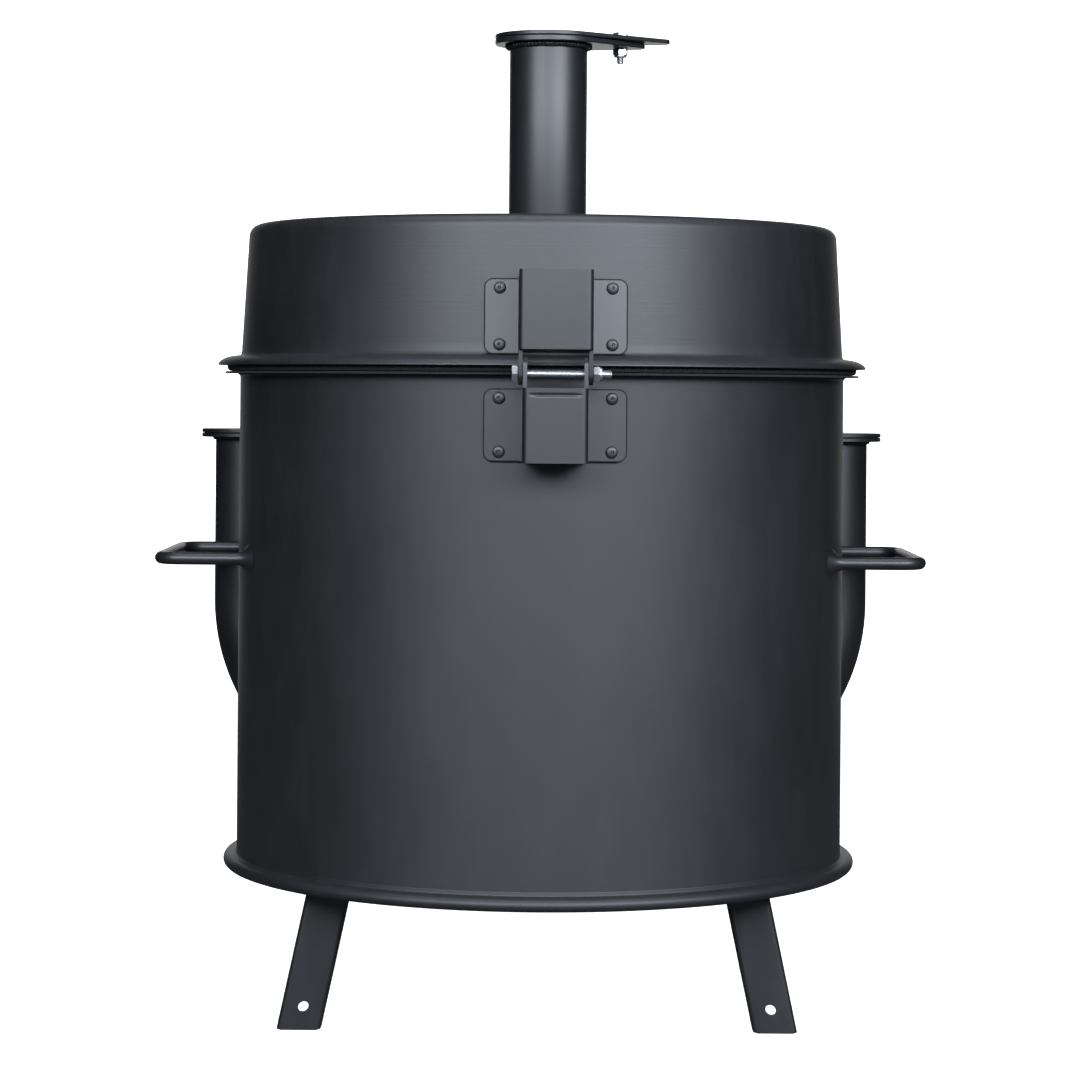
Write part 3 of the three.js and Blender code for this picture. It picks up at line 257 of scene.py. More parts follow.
def rounded(corners, radii, steps=6):
    """A path through corners with an arc at each inner one that leaves both its straights smoothly:
    the arc's centre plus its radius turned from one touching point to the other."""
    corners = np.asarray(corners, float)
    path = [corners[:1]]
    for before, corner, after, radius in zip(
            corners, corners[1:], corners[2:], np.broadcast_to(radii, len(corners) - 2)):
        back, on = (before - corner), (after - corner)
        back, on = back / np.linalg.norm(back), on / np.linalg.norm(on)
        half = math.acos(np.clip(back @ on, -1, 1)) / 2
        centre = corner + (back + on) / np.linalg.norm(back + on) * radius / math.sin(half)
        start = corner + back * radius / math.tan(half) - centre
        end = corner + on * radius / math.tan(half) - centre
        side = end - start * (end @ start) / radius ** 2
        side *= radius / np.linalg.norm(side)
        turn = np.linspace(0, math.pi - 2 * half, steps + 1)[:, None]
        path.append(centre + np.cos(turn) * start + np.sin(turn) * side)
    path.append(corners[-1:])
    return np.concatenate(path)


def lengths(path):
    """How far along a path each of its points is."""
    return np.concatenate([[0], np.cumsum(np.linalg.norm(np.diff(path, axis=0), axis=1))])


def pierced(s, t, place, windows=(), rings=4):
    """A sheet: place(s, t) over a grid of lines. Each window (s0, s1, t0, t1, outline) is left open to a
    hole, whose edge at an angle is outline(angle) in s and t. Rings between the window's own points
    and the hole's edge run from one to the other in equal shares."""
    grid = np.stack(np.meshgrid(s, t, indexing="ij"), -1)
    kept = np.ones((len(s) - 1, len(t) - 1), bool)
    shells = []
    for s0, s1, t0, t1, outline in windows:
        i0, i1 = np.abs(s - s0).argmin(), np.abs(s - s1).argmin()
        j0, j1 = np.abs(t - t0).argmin(), np.abs(t - t1).argmin()
        kept[i0:i1, j0:j1] = False
        wide, high = i1 - i0, j1 - j0
        i = np.concatenate([np.arange(i0, i1), np.full(high, i1), np.arange(i1, i0, -1), np.full(high, i0)])
        j = np.concatenate([np.full(wide, j0), np.arange(j0, j1), np.full(wide, j1), np.arange(j1, j0, -1)])
        frame_points = grid[i, j]
        middle, half = (grid[i0, j0] + grid[i1, j1]) / 2, (grid[i1, j1] - grid[i0, j0]) / 2
        across, up = ((frame_points - middle) / half).T
        edge = outline(np.arctan2(up, across))
        share = np.linspace(0, 1, rings + 1)[:, None, None]
        ring = frame_points + (edge - frame_points) * share
        faces = grid_faces(rings + 1, len(i), columns_close=True)
        shells.append((place(ring[..., 0], ring[..., 1]), [faces]))
    faces = grid_faces(len(s), len(t))[kept.ravel()]
    return together((place(grid[..., 0], grid[..., 1]), [faces]), *shells)


def from_axis(middles):
    """The way out from the drum's own axis."""
    return middles * (1, 1, 0)


coat_wall = powder_coat("powder_coat_wall", 0.49, 0.0003, sooty=DRUM_TOP - SOOT_DROP)
coat = powder_coat("powder_coat_small")

# The intakes run straight down beside the drum and then curve in through its wall.
INTAKE_AZIMUTHS = {"left": math.radians(-30), "right": math.radians(210)}
INTAKE_REACH, INTAKE_BEND = 0.344, 0.142
INTAKE_PIPE_TOP, INTAKE_BEND_LEVEL = 0.5402, 0.375
INTAKE_UPRIGHT = INTAKE_PIPE_TOP - INTAKE_BEND_LEVEL
PIPE_RADIUS, PIPE_WALL = 0.0365, 0.003
WINDOW_HALF, WINDOW_MARGIN = math.radians(11.25), 0.012  # the grid lines left out round each hole


def intake_place(run, around, radius):
    """Distance from the drum's axis, sideways and up, of a point on an intake's pipe: down the straight,
    then along an arc of the bend's radius, with the pipe's circle square to the run."""
    turn = np.maximum(run - INTAKE_UPRIGHT, 0) / INTAKE_BEND
    ring_out, ring_side = radius * np.cos(around), radius * np.sin(around)
    out = INTAKE_REACH - INTAKE_BEND * (1 - np.cos(turn)) + ring_out * np.cos(turn)
    up = INTAKE_PIPE_TOP - np.minimum(run, INTAKE_UPRIGHT) - (INTAKE_BEND + ring_out) * np.sin(turn)
    return np.stack(np.broadcast_arrays(out, ring_side, up), -1)


def intake_end(around, radius, wall):
    """How far along the pipe each of its sides meets the drum's wall."""
    run = np.linspace(INTAKE_UPRIGHT, INTAKE_UPRIGHT + INTAKE_BEND * math.pi / 2, 1200)
    place = intake_place(run[:, None], around[None, :], radius)
    met = (np.hypot(place[..., 0], place[..., 1]) <= wall).argmax(0)
    return run[met]


def intake_window(azimuth):
    """The window of grid lines round an intake's hole, in azimuth and distance up the wall, and the
    hole's outline: where the pipe's bore crosses the wall."""
    def outline(angle):
        around, bore = math.pi - angle, PIPE_RADIUS - PIPE_WALL
        place = intake_place(intake_end(around, bore, DRUM_RADIUS), around, bore)
        aside = np.arctan2(place[..., 1], place[..., 0])
        return np.stack([azimuth + aside, place[..., 2] - CRIMP_LEVEL], -1)
    edge = outline(np.linspace(-math.pi, math.pi, 90))[:, 1]
    return (azimuth - WINDOW_HALF, azimuth + WINDOW_HALF, edge.min() - WINDOW_MARGIN,
            edge.max() + WINDOW_MARGIN, outline)


wall_path = rounded([
    (DRUM_RADIUS, CRIMP_LEVEL), (DRUM_RADIUS, DRUM_TOP - DRUM_SHEET), (FLANGE_REACH, DRUM_TOP - DRUM_SHEET),
], FLANGE_BEND, 8)
wall_run = lengths(wall_path)


def wall_place(azimuth, run):
    """The drum's outer face: its profile's radius and height at a distance up the wall, at an azimuth."""
    radius, level = (np.interp(run, wall_run, part) for part in wall_path.T)
    return polar(radius, azimuth, level)


windows = [intake_window(INTAKE_AZIMUTHS["left"] + 2 * math.pi), intake_window(INTAKE_AZIMUTHS["right"])]
low, high = windows[0][2:4]
wall_lines = np.concatenate([
    np.linspace(0, low, 8, endpoint=False), np.linspace(low, high, 12, endpoint=False),
    np.linspace(high, wall_run[1], 24, endpoint=False), wall_run[1:],
])
azimuths = np.linspace(0, 2 * math.pi, WALL_SIDES + 1)
drum_wall = made("drum_wall", pierced(azimuths, wall_lines, wall_place, windows, 5), from_axis)
fit(thicken(drum_wall, DRUM_SHEET), coat_wall, "drum", "powder_coat", "drum_body")

# ---- The bead round the drum's foot ----
# The wall's lower edge is curled over into a hollow bead, which stiffens it and hides the floor's seam.
BEAD_RADIUS, BEAD_REACH = 0.006, 0.0127
bead_centre = DRUM_RADIUS + BEAD_REACH - BEAD_RADIUS
bead_level = drum_low.z + BEAD_RADIUS
crimp_top = CRIMP_LEVEL + 0.0055  # the bead's upper edge, inside the foot of the wall


def turned(profile, sides, middle=(0, 0), ring=True):
    """A profile of (radius, height) carried round an upright axis: its radius times the cosine and the
    sine of each angle. A ring's profile closes on itself; any other starts and ends on the axis."""
    radius, level = np.asarray(profile, float).T[..., None]
    points = polar(radius, whole_turn(sides), level) + (*middle, 0)
    return points, [grid_faces(len(profile), sides, ring, True)]


curl = np.radians(np.linspace(-150, 90, 17))
bead_profile = np.concatenate([
    [(DRUM_RADIUS - DRUM_SHEET, bead_level)],
    polar(BEAD_RADIUS, curl) + (bead_centre, bead_level),
    rounded([(DRUM_RADIUS + 0.0042, bead_level + BEAD_RADIUS), (DRUM_RADIUS + 0.0004, bead_level + 0.0068),
             (DRUM_RADIUS + 0.0002, CRIMP_LEVEL + 0.004), (DRUM_RADIUS - 0.001, crimp_top)], 0.0012, 4),
    [(DRUM_RADIUS - DRUM_SHEET, crimp_top)],
])
fit(made("drum_bead", turned(bead_profile, WALL_SIDES)), coat_wall, "drum", "powder_coat")

# ---- The drum's floor ----
# A shallow pan pressed up into the drum's foot and welded round its turned-up skirt. Its upper side is
# dulled by heat and holds a film of pale ash.
ASH_COAT = (0.10, 0.098, 0.094, 1)
floor_low, floor_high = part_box("drum_floor")


def ash_coat(name):
    """Powder coat that has been under a fire: its gloss is gone, and ash lies in drifts on it."""
    finish, place = new_finish(name)
    drift = place.speckle(14, 6, 0.62).between(0.42, 0.68)
    grit = place.speckle(420, 3, 0.7)
    color = (drift * 0.75).blend(COAT_DARK, ASH_COAT)
    color = grit.between(0.6, 0.72).blend(color, (0.22, 0.215, 0.205, 1))
    normal = place.relief(drift, 0.0005, place.relief(grit, 0.00025))
    return close_finish(finish, place, {
        "Base Color": color, "Roughness": 0.62 + drift * 0.3, "Normal": normal,
    })


floor_profile = rounded([
    (0, floor_low.z), (floor_high.x - 0.004, floor_low.z), (floor_high.x, floor_high.z),
    (floor_high.x - DRUM_SHEET, floor_high.z), (floor_high.x - 0.006, floor_low.z + DRUM_SHEET),
    (0, floor_low.z + DRUM_SHEET),
], [0.005, 0.0009, 0.0009, 0.0035], 5)
ashy = ash_coat("powder_coat_fire_side")
fit(made("drum_floor_pan", turned(floor_profile, 96, ring=False)), ashy, "drum", "powder_coat", "drum_floor")

# ---- Legs ----
# Channels folded from 3 mm plate, welded to the floor inside the bead and leaning out sideways. Each
# is cut level at the ground and has a bolt hole near its foot.
LEG_WIDTH, LEG_DEPTH, LEG_PLATE, LEG_FOLD = 0.040, 0.020, 0.003, 0.0045
LEG_LEAN = math.radians(12)
LEG_HOLE, LEG_HOLE_LEVEL, LEG_WELD = 0.0046, 0.022, 0.003

leg_path = rounded([
    (-LEG_WIDTH / 2, -LEG_DEPTH), (-LEG_WIDTH / 2, 0), (LEG_WIDTH / 2, 0), (LEG_WIDTH / 2, -LEG_DEPTH),
], LEG_FOLD, 7)
leg_run = lengths(leg_path)


def carried(section, path, up, closed=False):
    """A closed section carried along a path: each path point, plus the section's two numbers along the
    direction square to the path and to up, and along the direction square to both."""
    path = np.asarray(path, float)
    ahead = np.roll(path, -1, 0) - np.roll(path, 1, 0)
    if not closed:
        ahead[0], ahead[-1] = path[1] - path[0], path[-1] - path[-2]
    side = np.cross(ahead, up)
    side /= np.linalg.norm(side, axis=1)[:, None]
    lift = np.cross(side, ahead)
    lift /= np.linalg.norm(lift, axis=1)[:, None]
    section = np.broadcast_to(section, (len(path),) + np.shape(section)[-2:])
    points = path[:, None] + section[..., :1] * side[:, None] + section[..., 1:] * lift[:, None]
    faces = [grid_faces(*points.shape[:2], closed, True)]
    return points, faces if closed else faces + lids(*points.shape[:2])


def circle(radius, sides=16):
    """A round section."""
    return polar(radius, whole_turn(sides))


def weld_bead(path, up, radius=0.0026, closed=False):
    """A weld bead along a path: a round section that swells and thins as the puddles were laid."""
    path = np.asarray(path, float)
    along = lengths(path)
    puddle = 1 + 0.13 * np.cos(along * 2 * math.pi / 0.0034) + 0.07 * np.sin(along * 2 * math.pi / 0.019)
    return carried(circle(radius, 10)[None] * puddle[:, None, None], path, up, closed)


def dense(path, spacing=0.0008):
    """The same path with points at equal, close steps."""
    path = np.asarray(path, float)
    run = lengths(path)
    even = np.linspace(0, run[-1], max(int(run[-1] / spacing), 8))
    return np.stack([np.interp(even, run, part) for part in path.T], -1)


for name, side, facing in [
        ("rear_left", 1, 1), ("rear_right", -1, 1), ("front_left", 1, -1), ("front_right", -1, -1)]:
    leg_low, leg_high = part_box("leg_" + name)
    web = leg_high.y if facing > 0 else leg_low.y
    foot = max(leg_high.x, -leg_low.x) - LEG_WIDTH / 2 / math.cos(LEG_LEAN)
    top = leg_high.z

    def leg_place(run, share):
        """A point of the leg's outer face: its folded outline, moved in with height by the lean."""
        across, depth = (np.interp(run, leg_run, part) for part in leg_path.T)
        lift = 0.0009 * np.clip(np.abs(across) / LEG_FOLD - (LEG_WIDTH / 2 / LEG_FOLD - 1), 0, 1)
        level = lift + share * (top - lift)
        x = side * (foot - level * math.tan(LEG_LEAN)) + across / math.cos(LEG_LEAN)
        return np.stack([x, web + facing * depth, level], -1)

    def leg_hole(angle):
        """The bolt hole's edge, in distance along the outline and share of the height."""
        return np.stack([leg_run[-1] / 2 + LEG_HOLE * np.cos(angle),
                         (LEG_HOLE_LEVEL + LEG_HOLE * np.sin(angle)) / top], -1)

    web_lines = leg_run[-1] / 2 + np.linspace(-0.009, 0.009, 9)
    lines = np.unique(np.round(np.concatenate([leg_run, web_lines]), 7))
    levels = [np.linspace(0, 0.013, 4), np.linspace(0.0145, 0.0295, 9), np.linspace(0.034, top, 10)]
    shares = np.concatenate(levels) / top
    window = (web_lines[0], web_lines[-1], 0.013 / top, 0.0295 / top, leg_hole)
    leg = made("leg_" + name + "_channel", pierced(lines, shares, leg_place, [window], 3), (0, facing, 0))
    fit(thicken(leg, LEG_PLATE), coat, "drum", "powder_coat", "leg_" + name)
    seam = leg_place(leg_run, np.ones(len(leg_run))) - (0, 0, LEG_WELD / 2)
    bead = weld_bead(dense(seam), (0, 0, 1), LEG_WELD)
    fit(made("leg_" + name + "_weld", bead), coat, "drum", "powder_coat")

# ---- Bent bar handles ----
# Round bar bent square at both ends and welded to the wall, with a flared fillet of weld at each root.
# One is on each side of the drum, and one is on the front of the lid.
HANDLE_ROD, HANDLE_SPAN, HANDLE_BEND = 0.006, 0.204, 0.020
COLLAR_RADIUS, COLLAR_LENGTH = 0.0135, 0.013
LID_WALL, LID_WALL_LEVEL, LID_TAPER = 0.291, 0.6225, math.radians(3.3)


def laid(shell, across, up, out, origin):
    """A surface carried from its own three directions to the given ones, at an origin."""
    points, faces = shell
    return points.reshape(-1, 3) @ np.array([across, up, out]) + np.asarray(origin), faces


def facing_out(shell, azimuth):
    """A surface made towards +X, turned about the upright axis to face an azimuth."""
    c, s = math.cos(azimuth), math.sin(azimuth)
    return laid(shell, (c, s, 0), (-s, c, 0), (0, 0, 1), (0, 0, 0))


def bar_handle(reach, level, wall):
    """A handle made towards +X. The collar's radius falls as the square of the distance still to go to
    its tip, and its foot lies on the wall, whose radius at a height is wall(height)."""
    half = HANDLE_SPAN / 2
    root = math.sqrt(wall(level) ** 2 - half ** 2)
    corners = [(root - 0.001, -half, level), (reach - HANDLE_ROD, -half, level),
               (reach - HANDLE_ROD, half, level), (root - 0.001, half, level)]
    shells = [carried(circle(HANDLE_ROD, 24), rounded(corners, HANDLE_BEND, 12), (0, 0, 1))]
    for side in (-1, 1):
        share = np.linspace(0, 1, 14)[:, None]
        angle = np.linspace(0, 2 * math.pi, 33)[None, :]
        ripple = 1 + 0.025 * np.cos(angle * 17) * (1 - share)
        radius = (HANDLE_ROD + (COLLAR_RADIUS - HANDLE_ROD) * (1 - share) ** 2.2) * ripple
        y, z = side * half + radius * np.cos(angle), level + radius * np.sin(angle)
        foot = np.sqrt(wall(z) ** 2 - y ** 2)
        x = foot * (1 - share) + root * share + COLLAR_LENGTH * share + 0.0003 * (1 - share)
        shells.append((np.stack([x, y, z], -1), [grid_faces(14, 33)]))
    return together(*shells)


def drum_wall_radius(level):
    """The radius of the drum's wall at any height."""
    return DRUM_RADIUS + 0 * level


def lid_wall_radius(level):
    """The radius of the lid's wall at a height: it draws in by its taper."""
    return LID_WALL - (level - LID_WALL_LEVEL) * math.tan(LID_TAPER)


for name, azimuth in [("left", 0.0), ("right", math.pi)]:
    low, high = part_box("side_handle_" + name)
    level = high.z - COLLAR_RADIUS
    reach = max(high.x, -low.x)
    handle = made("side_handle_bar_" + name, facing_out(bar_handle(reach, level, drum_wall_radius), azimuth))
    fit(handle, coat, "drum", "powder_coat", "side_handle_" + name)
low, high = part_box("lid_handle")
handle = facing_out(bar_handle(-low.y, high.z - COLLAR_RADIUS, lid_wall_radius), -math.pi / 2)
fit(made("lid_handle_bar", handle), coat, "lid", "powder_coat", "lid_handle")

# ---- Air intakes and the chimney's top ----
# Each pipe ends in a round seat plate with a tab, and a damper plate of the same outline but longer
# turns over it on a zinc-plated bolt. The intake pipes are bent in one piece and welded in.
VENT_DISC, VENT_TAB, BOLT_REACH = 0.0505, 0.011, 0.071
SEAT_REACH, DAMPER_REACH = 0.095, 0.120
VENT_BOLT, VENT_HEX, VENT_HEAD, VENT_NUT, VENT_THREAD = 0.0035, 0.0074, 0.005, 0.0085, 0.006
VENT_GAP, CONTACT = 0.0005, 0.0003  # between the two plates, and between pieces that are clamped
LOCK_RING = 0.0018  # height of the nylon ring's collar on a locking nut


def vent_outline(reach):
    """A disc and a round-ended tab towards +X, joined by the two straights that touch both."""
    end = reach - VENT_TAB
    spread = math.acos((VENT_DISC - VENT_TAB) / end)
    disc, tab = np.linspace(spread, 2 * math.pi - spread, 73), np.linspace(-spread, spread, 19)
    return np.concatenate([
        polar(VENT_DISC, disc), polar(VENT_TAB, tab) + (end, 0),
    ])


def inset(outline, amount):
    """An anticlockwise outline drawn in along its normals."""
    ahead = np.roll(outline, -1, 0) - np.roll(outline, 1, 0)
    normal = np.stack([ahead[:, 1], -ahead[:, 0]], -1) / np.linalg.norm(ahead, axis=1)[:, None]
    return outline - normal * amount


def plate(outline, low, high, bore=None, edge=0.0006):
    """A flat plate: its outline through four levels, drawn in at the first and last for the rounded
    edge. A bore at the middle is a circle whose points lie at the outline's own angles."""
    drawn_in = inset(outline, edge)
    rows = [(drawn_in, low), (outline, low + edge), (outline, high - edge), (drawn_in, high)]
    if bore:
        hole = polar(bore, np.arctan2(outline[:, 1], outline[:, 0]))
        eased = hole * (1 + edge / bore)
        rows += [(eased, high), (hole, high - edge), (hole, low + edge), (eased, low)]
    points = np.stack([np.column_stack([ring, np.full(len(ring), level)]) for ring, level in rows])
    faces = [grid_faces(len(rows), len(outline), bool(bore), True)]
    return points, faces if bore else faces + lids(len(rows), len(outline))


def raised(shell, level):
    """A surface moved up."""
    points, faces = shell
    return points.reshape(-1, 3) + (0, 0, level), faces


def hexagonal(corner, height, chamfer=0.0011):
    """A hexagon whose corners are turned off at both ends by a cone: its radius at an angle is the
    smaller of the hexagon's and the cone's."""
    angle = whole_turn(72)
    flat = corner * math.cos(math.pi / 6) / np.cos(angle % (math.pi / 3) - math.pi / 6)
    ends = np.linspace(0, chamfer, 4)
    level = np.concatenate([[0], ends, ends + height - chamfer, [height]])
    away = np.minimum(level, height - level).clip(0, chamfer) / chamfer
    limit = corner * (0.84 + 0.17 * np.sqrt(away))
    radius = np.minimum(flat[None, :], limit[:, None])
    radius[0], radius[-1] = 0, 0
    return polar(radius, angle, level[:, None]), [grid_faces(len(level), len(angle), False, True)]


def threaded(radius, low, high, pitch=0.00125):
    """A screwed rod: its radius falls to the thread's root and back once each pitch, and the groove
    climbs one pitch in a turn. Its tip is turned down to a cone."""
    angle = whole_turn(24)
    level = np.concatenate([[low], np.arange(low, high, pitch / 6), [high]])
    wave = np.abs(2 * ((level[:, None] / pitch - angle / (2 * math.pi)) % 1) - 1)
    tip = np.clip((level - low) / pitch, 0, 1)[:, None]
    radii = radius * (1 - 0.17 * wave) * (0.72 + 0.28 * tip)
    radii[0], radii[-1] = 0, 0
    return polar(radii, angle, level[:, None]), [grid_faces(len(level), len(angle), False, True)]


def zinc_plate(name):
    """Bright zinc plating: pale, slightly blue, with a soft bloom and fine tool marks."""
    finish, place = new_finish(name)
    bloom = place.speckle(180, 4, 0.6)
    marks = place.speckle(2600, 2, 0.6)
    color = bloom.between(0.3, 0.75).blend((0.55, 0.57, 0.60, 1), (0.38, 0.385, 0.38, 1))
    return close_finish(finish, place, {
        "Base Color": color, "Metallic": 1.0, "Roughness": 0.24 + bloom * 0.22,
        "Normal": place.relief(marks, 0.00002),
    })


def damper_coat(name, pivot, reach):
    """Powder coat that a turning plate has rubbed: faint bright arcs round its pivot."""
    finish, place = new_finish(name)
    offset = place.node("VectorMath", {"operation": "SUBTRACT"}, {0: place, 1: pivot})
    away = place.node("VectorMath", {"operation": "LENGTH"}, {0: offset}, 1)
    rub = away.as_place().speckle(900, 3, 0.7).between(0.6, 0.8) * away.between(reach * 0.3, reach * 0.6)
    mottle = place.speckle(12, 3)
    color = mottle.between(0.3, 0.7).blend(COAT_DARK, COAT_LIGHT)
    color = (rub * 0.22).blend(color, (0.2, 0.2, 0.2, 1))
    grain = place.relief(place.speckle(900, 2), 0.00003)
    return close_finish(finish, place, {
        "Base Color": color, "Roughness": 0.4 + mottle * 0.06 - rub * 0.1, "Normal": grain,
    })


zinc = zinc_plate("zinc_plating")


def fit_vent(names, body, damper_body, middle, azimuth, top, seat_sheet, damper_sheet):
    """Fits one vent's seat, damper, bolt and nut, with the damper's upper face at a height. Names is the
    frame's name for each of them with a gap for the piece's own word."""
    across = (math.cos(azimuth), math.sin(azimuth), 0)
    up = (-math.sin(azimuth), math.cos(azimuth), 0)
    origin = (*middle, top)
    pivot = (middle[0] + BOLT_REACH * across[0], middle[1] + BOLT_REACH * across[1], top)
    seat_top = -damper_sheet - VENT_GAP
    seat_foot = seat_top - seat_sheet
    seat = plate(vent_outline(SEAT_REACH), seat_foot, seat_top, PIPE_RADIUS - PIPE_WALL)
    damper = plate(vent_outline(DAMPER_REACH), -damper_sheet, 0)
    nut_foot = seat_foot - CONTACT - VENT_NUT
    collar = rounded([(0, 0), (VENT_HEX * 0.8, 0), (VENT_HEX * 0.82, 0.003), (0, 0.003)], 0.0009, 4)
    nut = together(raised(hexagonal(VENT_HEX, VENT_NUT - LOCK_RING), nut_foot + LOCK_RING),
                   raised(turned(collar, 36, ring=False), nut_foot))
    bolt = together(raised(hexagonal(VENT_HEX, VENT_HEAD), CONTACT),
                    threaded(VENT_BOLT, nut_foot - VENT_THREAD, VENT_GAP))
    rubbed = damper_coat(names.format("coat"), pivot, DAMPER_REACH)
    for word, shell, finish, rides, slot, at in [
            ("seat", seat, rubbed, body, "powder_coat", origin),
            ("damper", damper, rubbed, damper_body, "powder_coat", origin),
            ("bolt", bolt, zinc, body, "zinc", pivot), ("nut", nut, zinc, body, "zinc", pivot)]:
        node = names.format(word)
        piece = made(node + ("_zinc" if slot == "zinc" else "_plate"), laid(shell, across, up, (0, 0, 1), at))
        fit(piece, finish, rides, slot, node)


INTAKE_PLATE, PIPE_WELD = 0.004, 0.0034
around = whole_turn(64)
share = np.linspace(0, 1, 40)[:, None]
for (name, azimuth), side in zip(INTAKE_AZIMUTHS.items(), (1, -1)):
    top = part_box("intake_damper_" + name)[1].z
    fit_vent("intake_{}_" + name, "drum", "intake_damper_" + name, polar(INTAKE_REACH, azimuth),
             azimuth - side * math.pi / 2, top, INTAKE_PLATE, INTAKE_PLATE)
    skins = [intake_place(share * intake_end(around, radius, DRUM_RADIUS + 0.0004), around[None, :], radius)
             for radius in (PIPE_RADIUS, PIPE_RADIUS - PIPE_WALL)]
    tube = np.concatenate([skins[0], skins[1][::-1]])
    joint = skins[0][-1] + (0.0006, 0, 0)
    seam = dense(np.concatenate([joint, joint[:1]]), 0.0011)[:-1]
    collar = polar(PIPE_RADIUS + 0.0006, whole_turn(259), top - 2 * INTAKE_PLATE - VENT_GAP - 0.0009)
    pipe = together(
        (tube, [grid_faces(*tube.shape[:2], True, True)]),
        weld_bead(seam, np.broadcast_to((1.0, 0.0, 0.25), seam.shape), PIPE_WELD, True),
        weld_bead(collar + (INTAKE_REACH, 0, 0), (0, 0, 1), 0.0019, True),
    )
    fit(made("intake_pipe_bent_" + name, facing_out(pipe, azimuth)), coat, "drum", "powder_coat",
        "intake_pipe_" + name)

# ---- The lid's seal ----
# A braided glass-fibre cord laid on the drum's flange, blackened by smoke.
seal_low, seal_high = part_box("lid_seal")
SEAL_WIDTH = 0.009


def seal_braid(name):
    """Black braid: two rows of slanting strands, from the angle round the drum and the height."""
    finish, place = new_finish(name)
    x, y, z = place.parts()
    turn, rise = y.math("ARCTAN2", x) * 620, z * 900
    weave = (turn + rise).math("SINE").math("MAXIMUM", (turn - rise).math("SINE"))
    fibre = place.speckle(1500, 3, 0.7)
    color = fibre.between(0.35, 0.7).blend((0.003, 0.003, 0.003, 1), (0.012, 0.0115, 0.011, 1))
    return close_finish(finish, place, {
        "Base Color": color, "Roughness": 0.85 + fibre * 0.12,
        "Normal": place.relief(weave * 0.5 + 0.5, 0.0006),
    })


seal_middle = np.array([seal_high.x - SEAL_WIDTH / 2, (seal_low.z + seal_high.z) / 2])
seal_half = np.array([SEAL_WIDTH / 2, (seal_high.z - seal_low.z) / 2])
lap = circle(1, 20)
swell = np.sign(lap) * np.abs(lap) ** 0.7
fit(made("lid_seal_braid", turned(seal_middle + seal_half * swell, 240)), seal_braid("seal_braid"), "drum",
    "seal", "lid_seal")

# ---- The lid ----
# One disc of sheet, spun to a shallow tapering dome with a rounded flange at its foot and a tight corner
# at its top. The spinning tool leaves fine rings. The chimney's hole is behind the middle.
LID_SHEET, LID_CORNER, LID_CROWN = 0.002, 0.011, 0.003
CHIMNEY = (-0.004, 0.100)
lid_low, lid_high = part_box("lid_shell")
LID_SHOULDER = lid_high.z - LID_CROWN

flange = np.radians(np.linspace(0, 82, 14))[:, None]
FLANGE_REACH_OUT, FLANGE_RISE = lid_high.x - LID_WALL, LID_WALL_LEVEL - lid_low.z
flange_path = np.hstack([LID_WALL + FLANGE_REACH_OUT * np.cos(flange),
                         lid_low.z + FLANGE_RISE * np.sin(flange)])
fillet = np.array([(0.0021, 0.0), (0.0011, 0.0005), (0.0004, 0.0013)]) + (LID_WALL, LID_WALL_LEVEL)
corner_radius = lid_wall_radius(LID_SHOULDER - LID_CORNER)
corner_path = polar(LID_CORNER, np.radians(np.linspace(3, 87.6, 12))) + (
    corner_radius - LID_CORNER, LID_SHOULDER - LID_CORNER)
crown = np.linspace(0.975, 0, 30)[:, None]
crown_radius, crown_foot = corner_path[-1]
crown_path = np.hstack([crown_radius * crown, crown_foot + (lid_high.z - crown_foot) * (1 - crown ** 2)])
wall_steps = np.linspace(LID_WALL_LEVEL + 0.003, LID_SHOULDER - LID_CORNER - 0.002, 14)[:, None]
lid_path = np.concatenate([
    flange_path, fillet, np.hstack([lid_wall_radius(wall_steps), wall_steps]), corner_path, crown_path,
])
lid_run = lengths(lid_path)


def lid_place(azimuth, run):
    """The lid's outer face: its profile's radius and height at a distance in from the flange's lip."""
    radius, level = (np.interp(run, lid_run, part) for part in lid_path.T)
    return polar(radius, azimuth, level)


def run_at(radius):
    """The distance in from the lip where the crown has a radius."""
    return np.interp(-radius, -lid_path[:, 0], lid_run)


def chimney_hole(angle):
    """The edge of the chimney's hole, as azimuth and distance in from the lip."""
    around = math.hypot(*CHIMNEY) - (PIPE_RADIUS - 0.0005) * np.sin(angle)
    sideways = (PIPE_RADIUS - 0.0005) * np.cos(angle)
    return np.stack([towards + np.arctan2(sideways, around), run_at(np.hypot(around, sideways))], -1)


lid_middle = (0, 0, 0.60)
towards = math.atan2(CHIMNEY[1], CHIMNEY[0])
near, far = run_at(0.145), run_at(0.055)
lid_lines = np.unique(np.concatenate([
    lid_run[lid_run < near - 0.002], np.linspace(near, far, 13), lid_run[lid_run > far + 0.002],
]))
window = (towards - math.radians(32), towards + math.radians(32), near, far, chimney_hole)
dome = pierced(azimuths, lid_lines, lid_place, [window], 5)
lid = made("lid_dome", dome, lambda middles: middles - lid_middle)
fit(thicken(lid, LID_SHEET), powder_coat("powder_coat_spun", 0.46, 0.0002, spun=True), "lid", "powder_coat",
    "lid_shell")

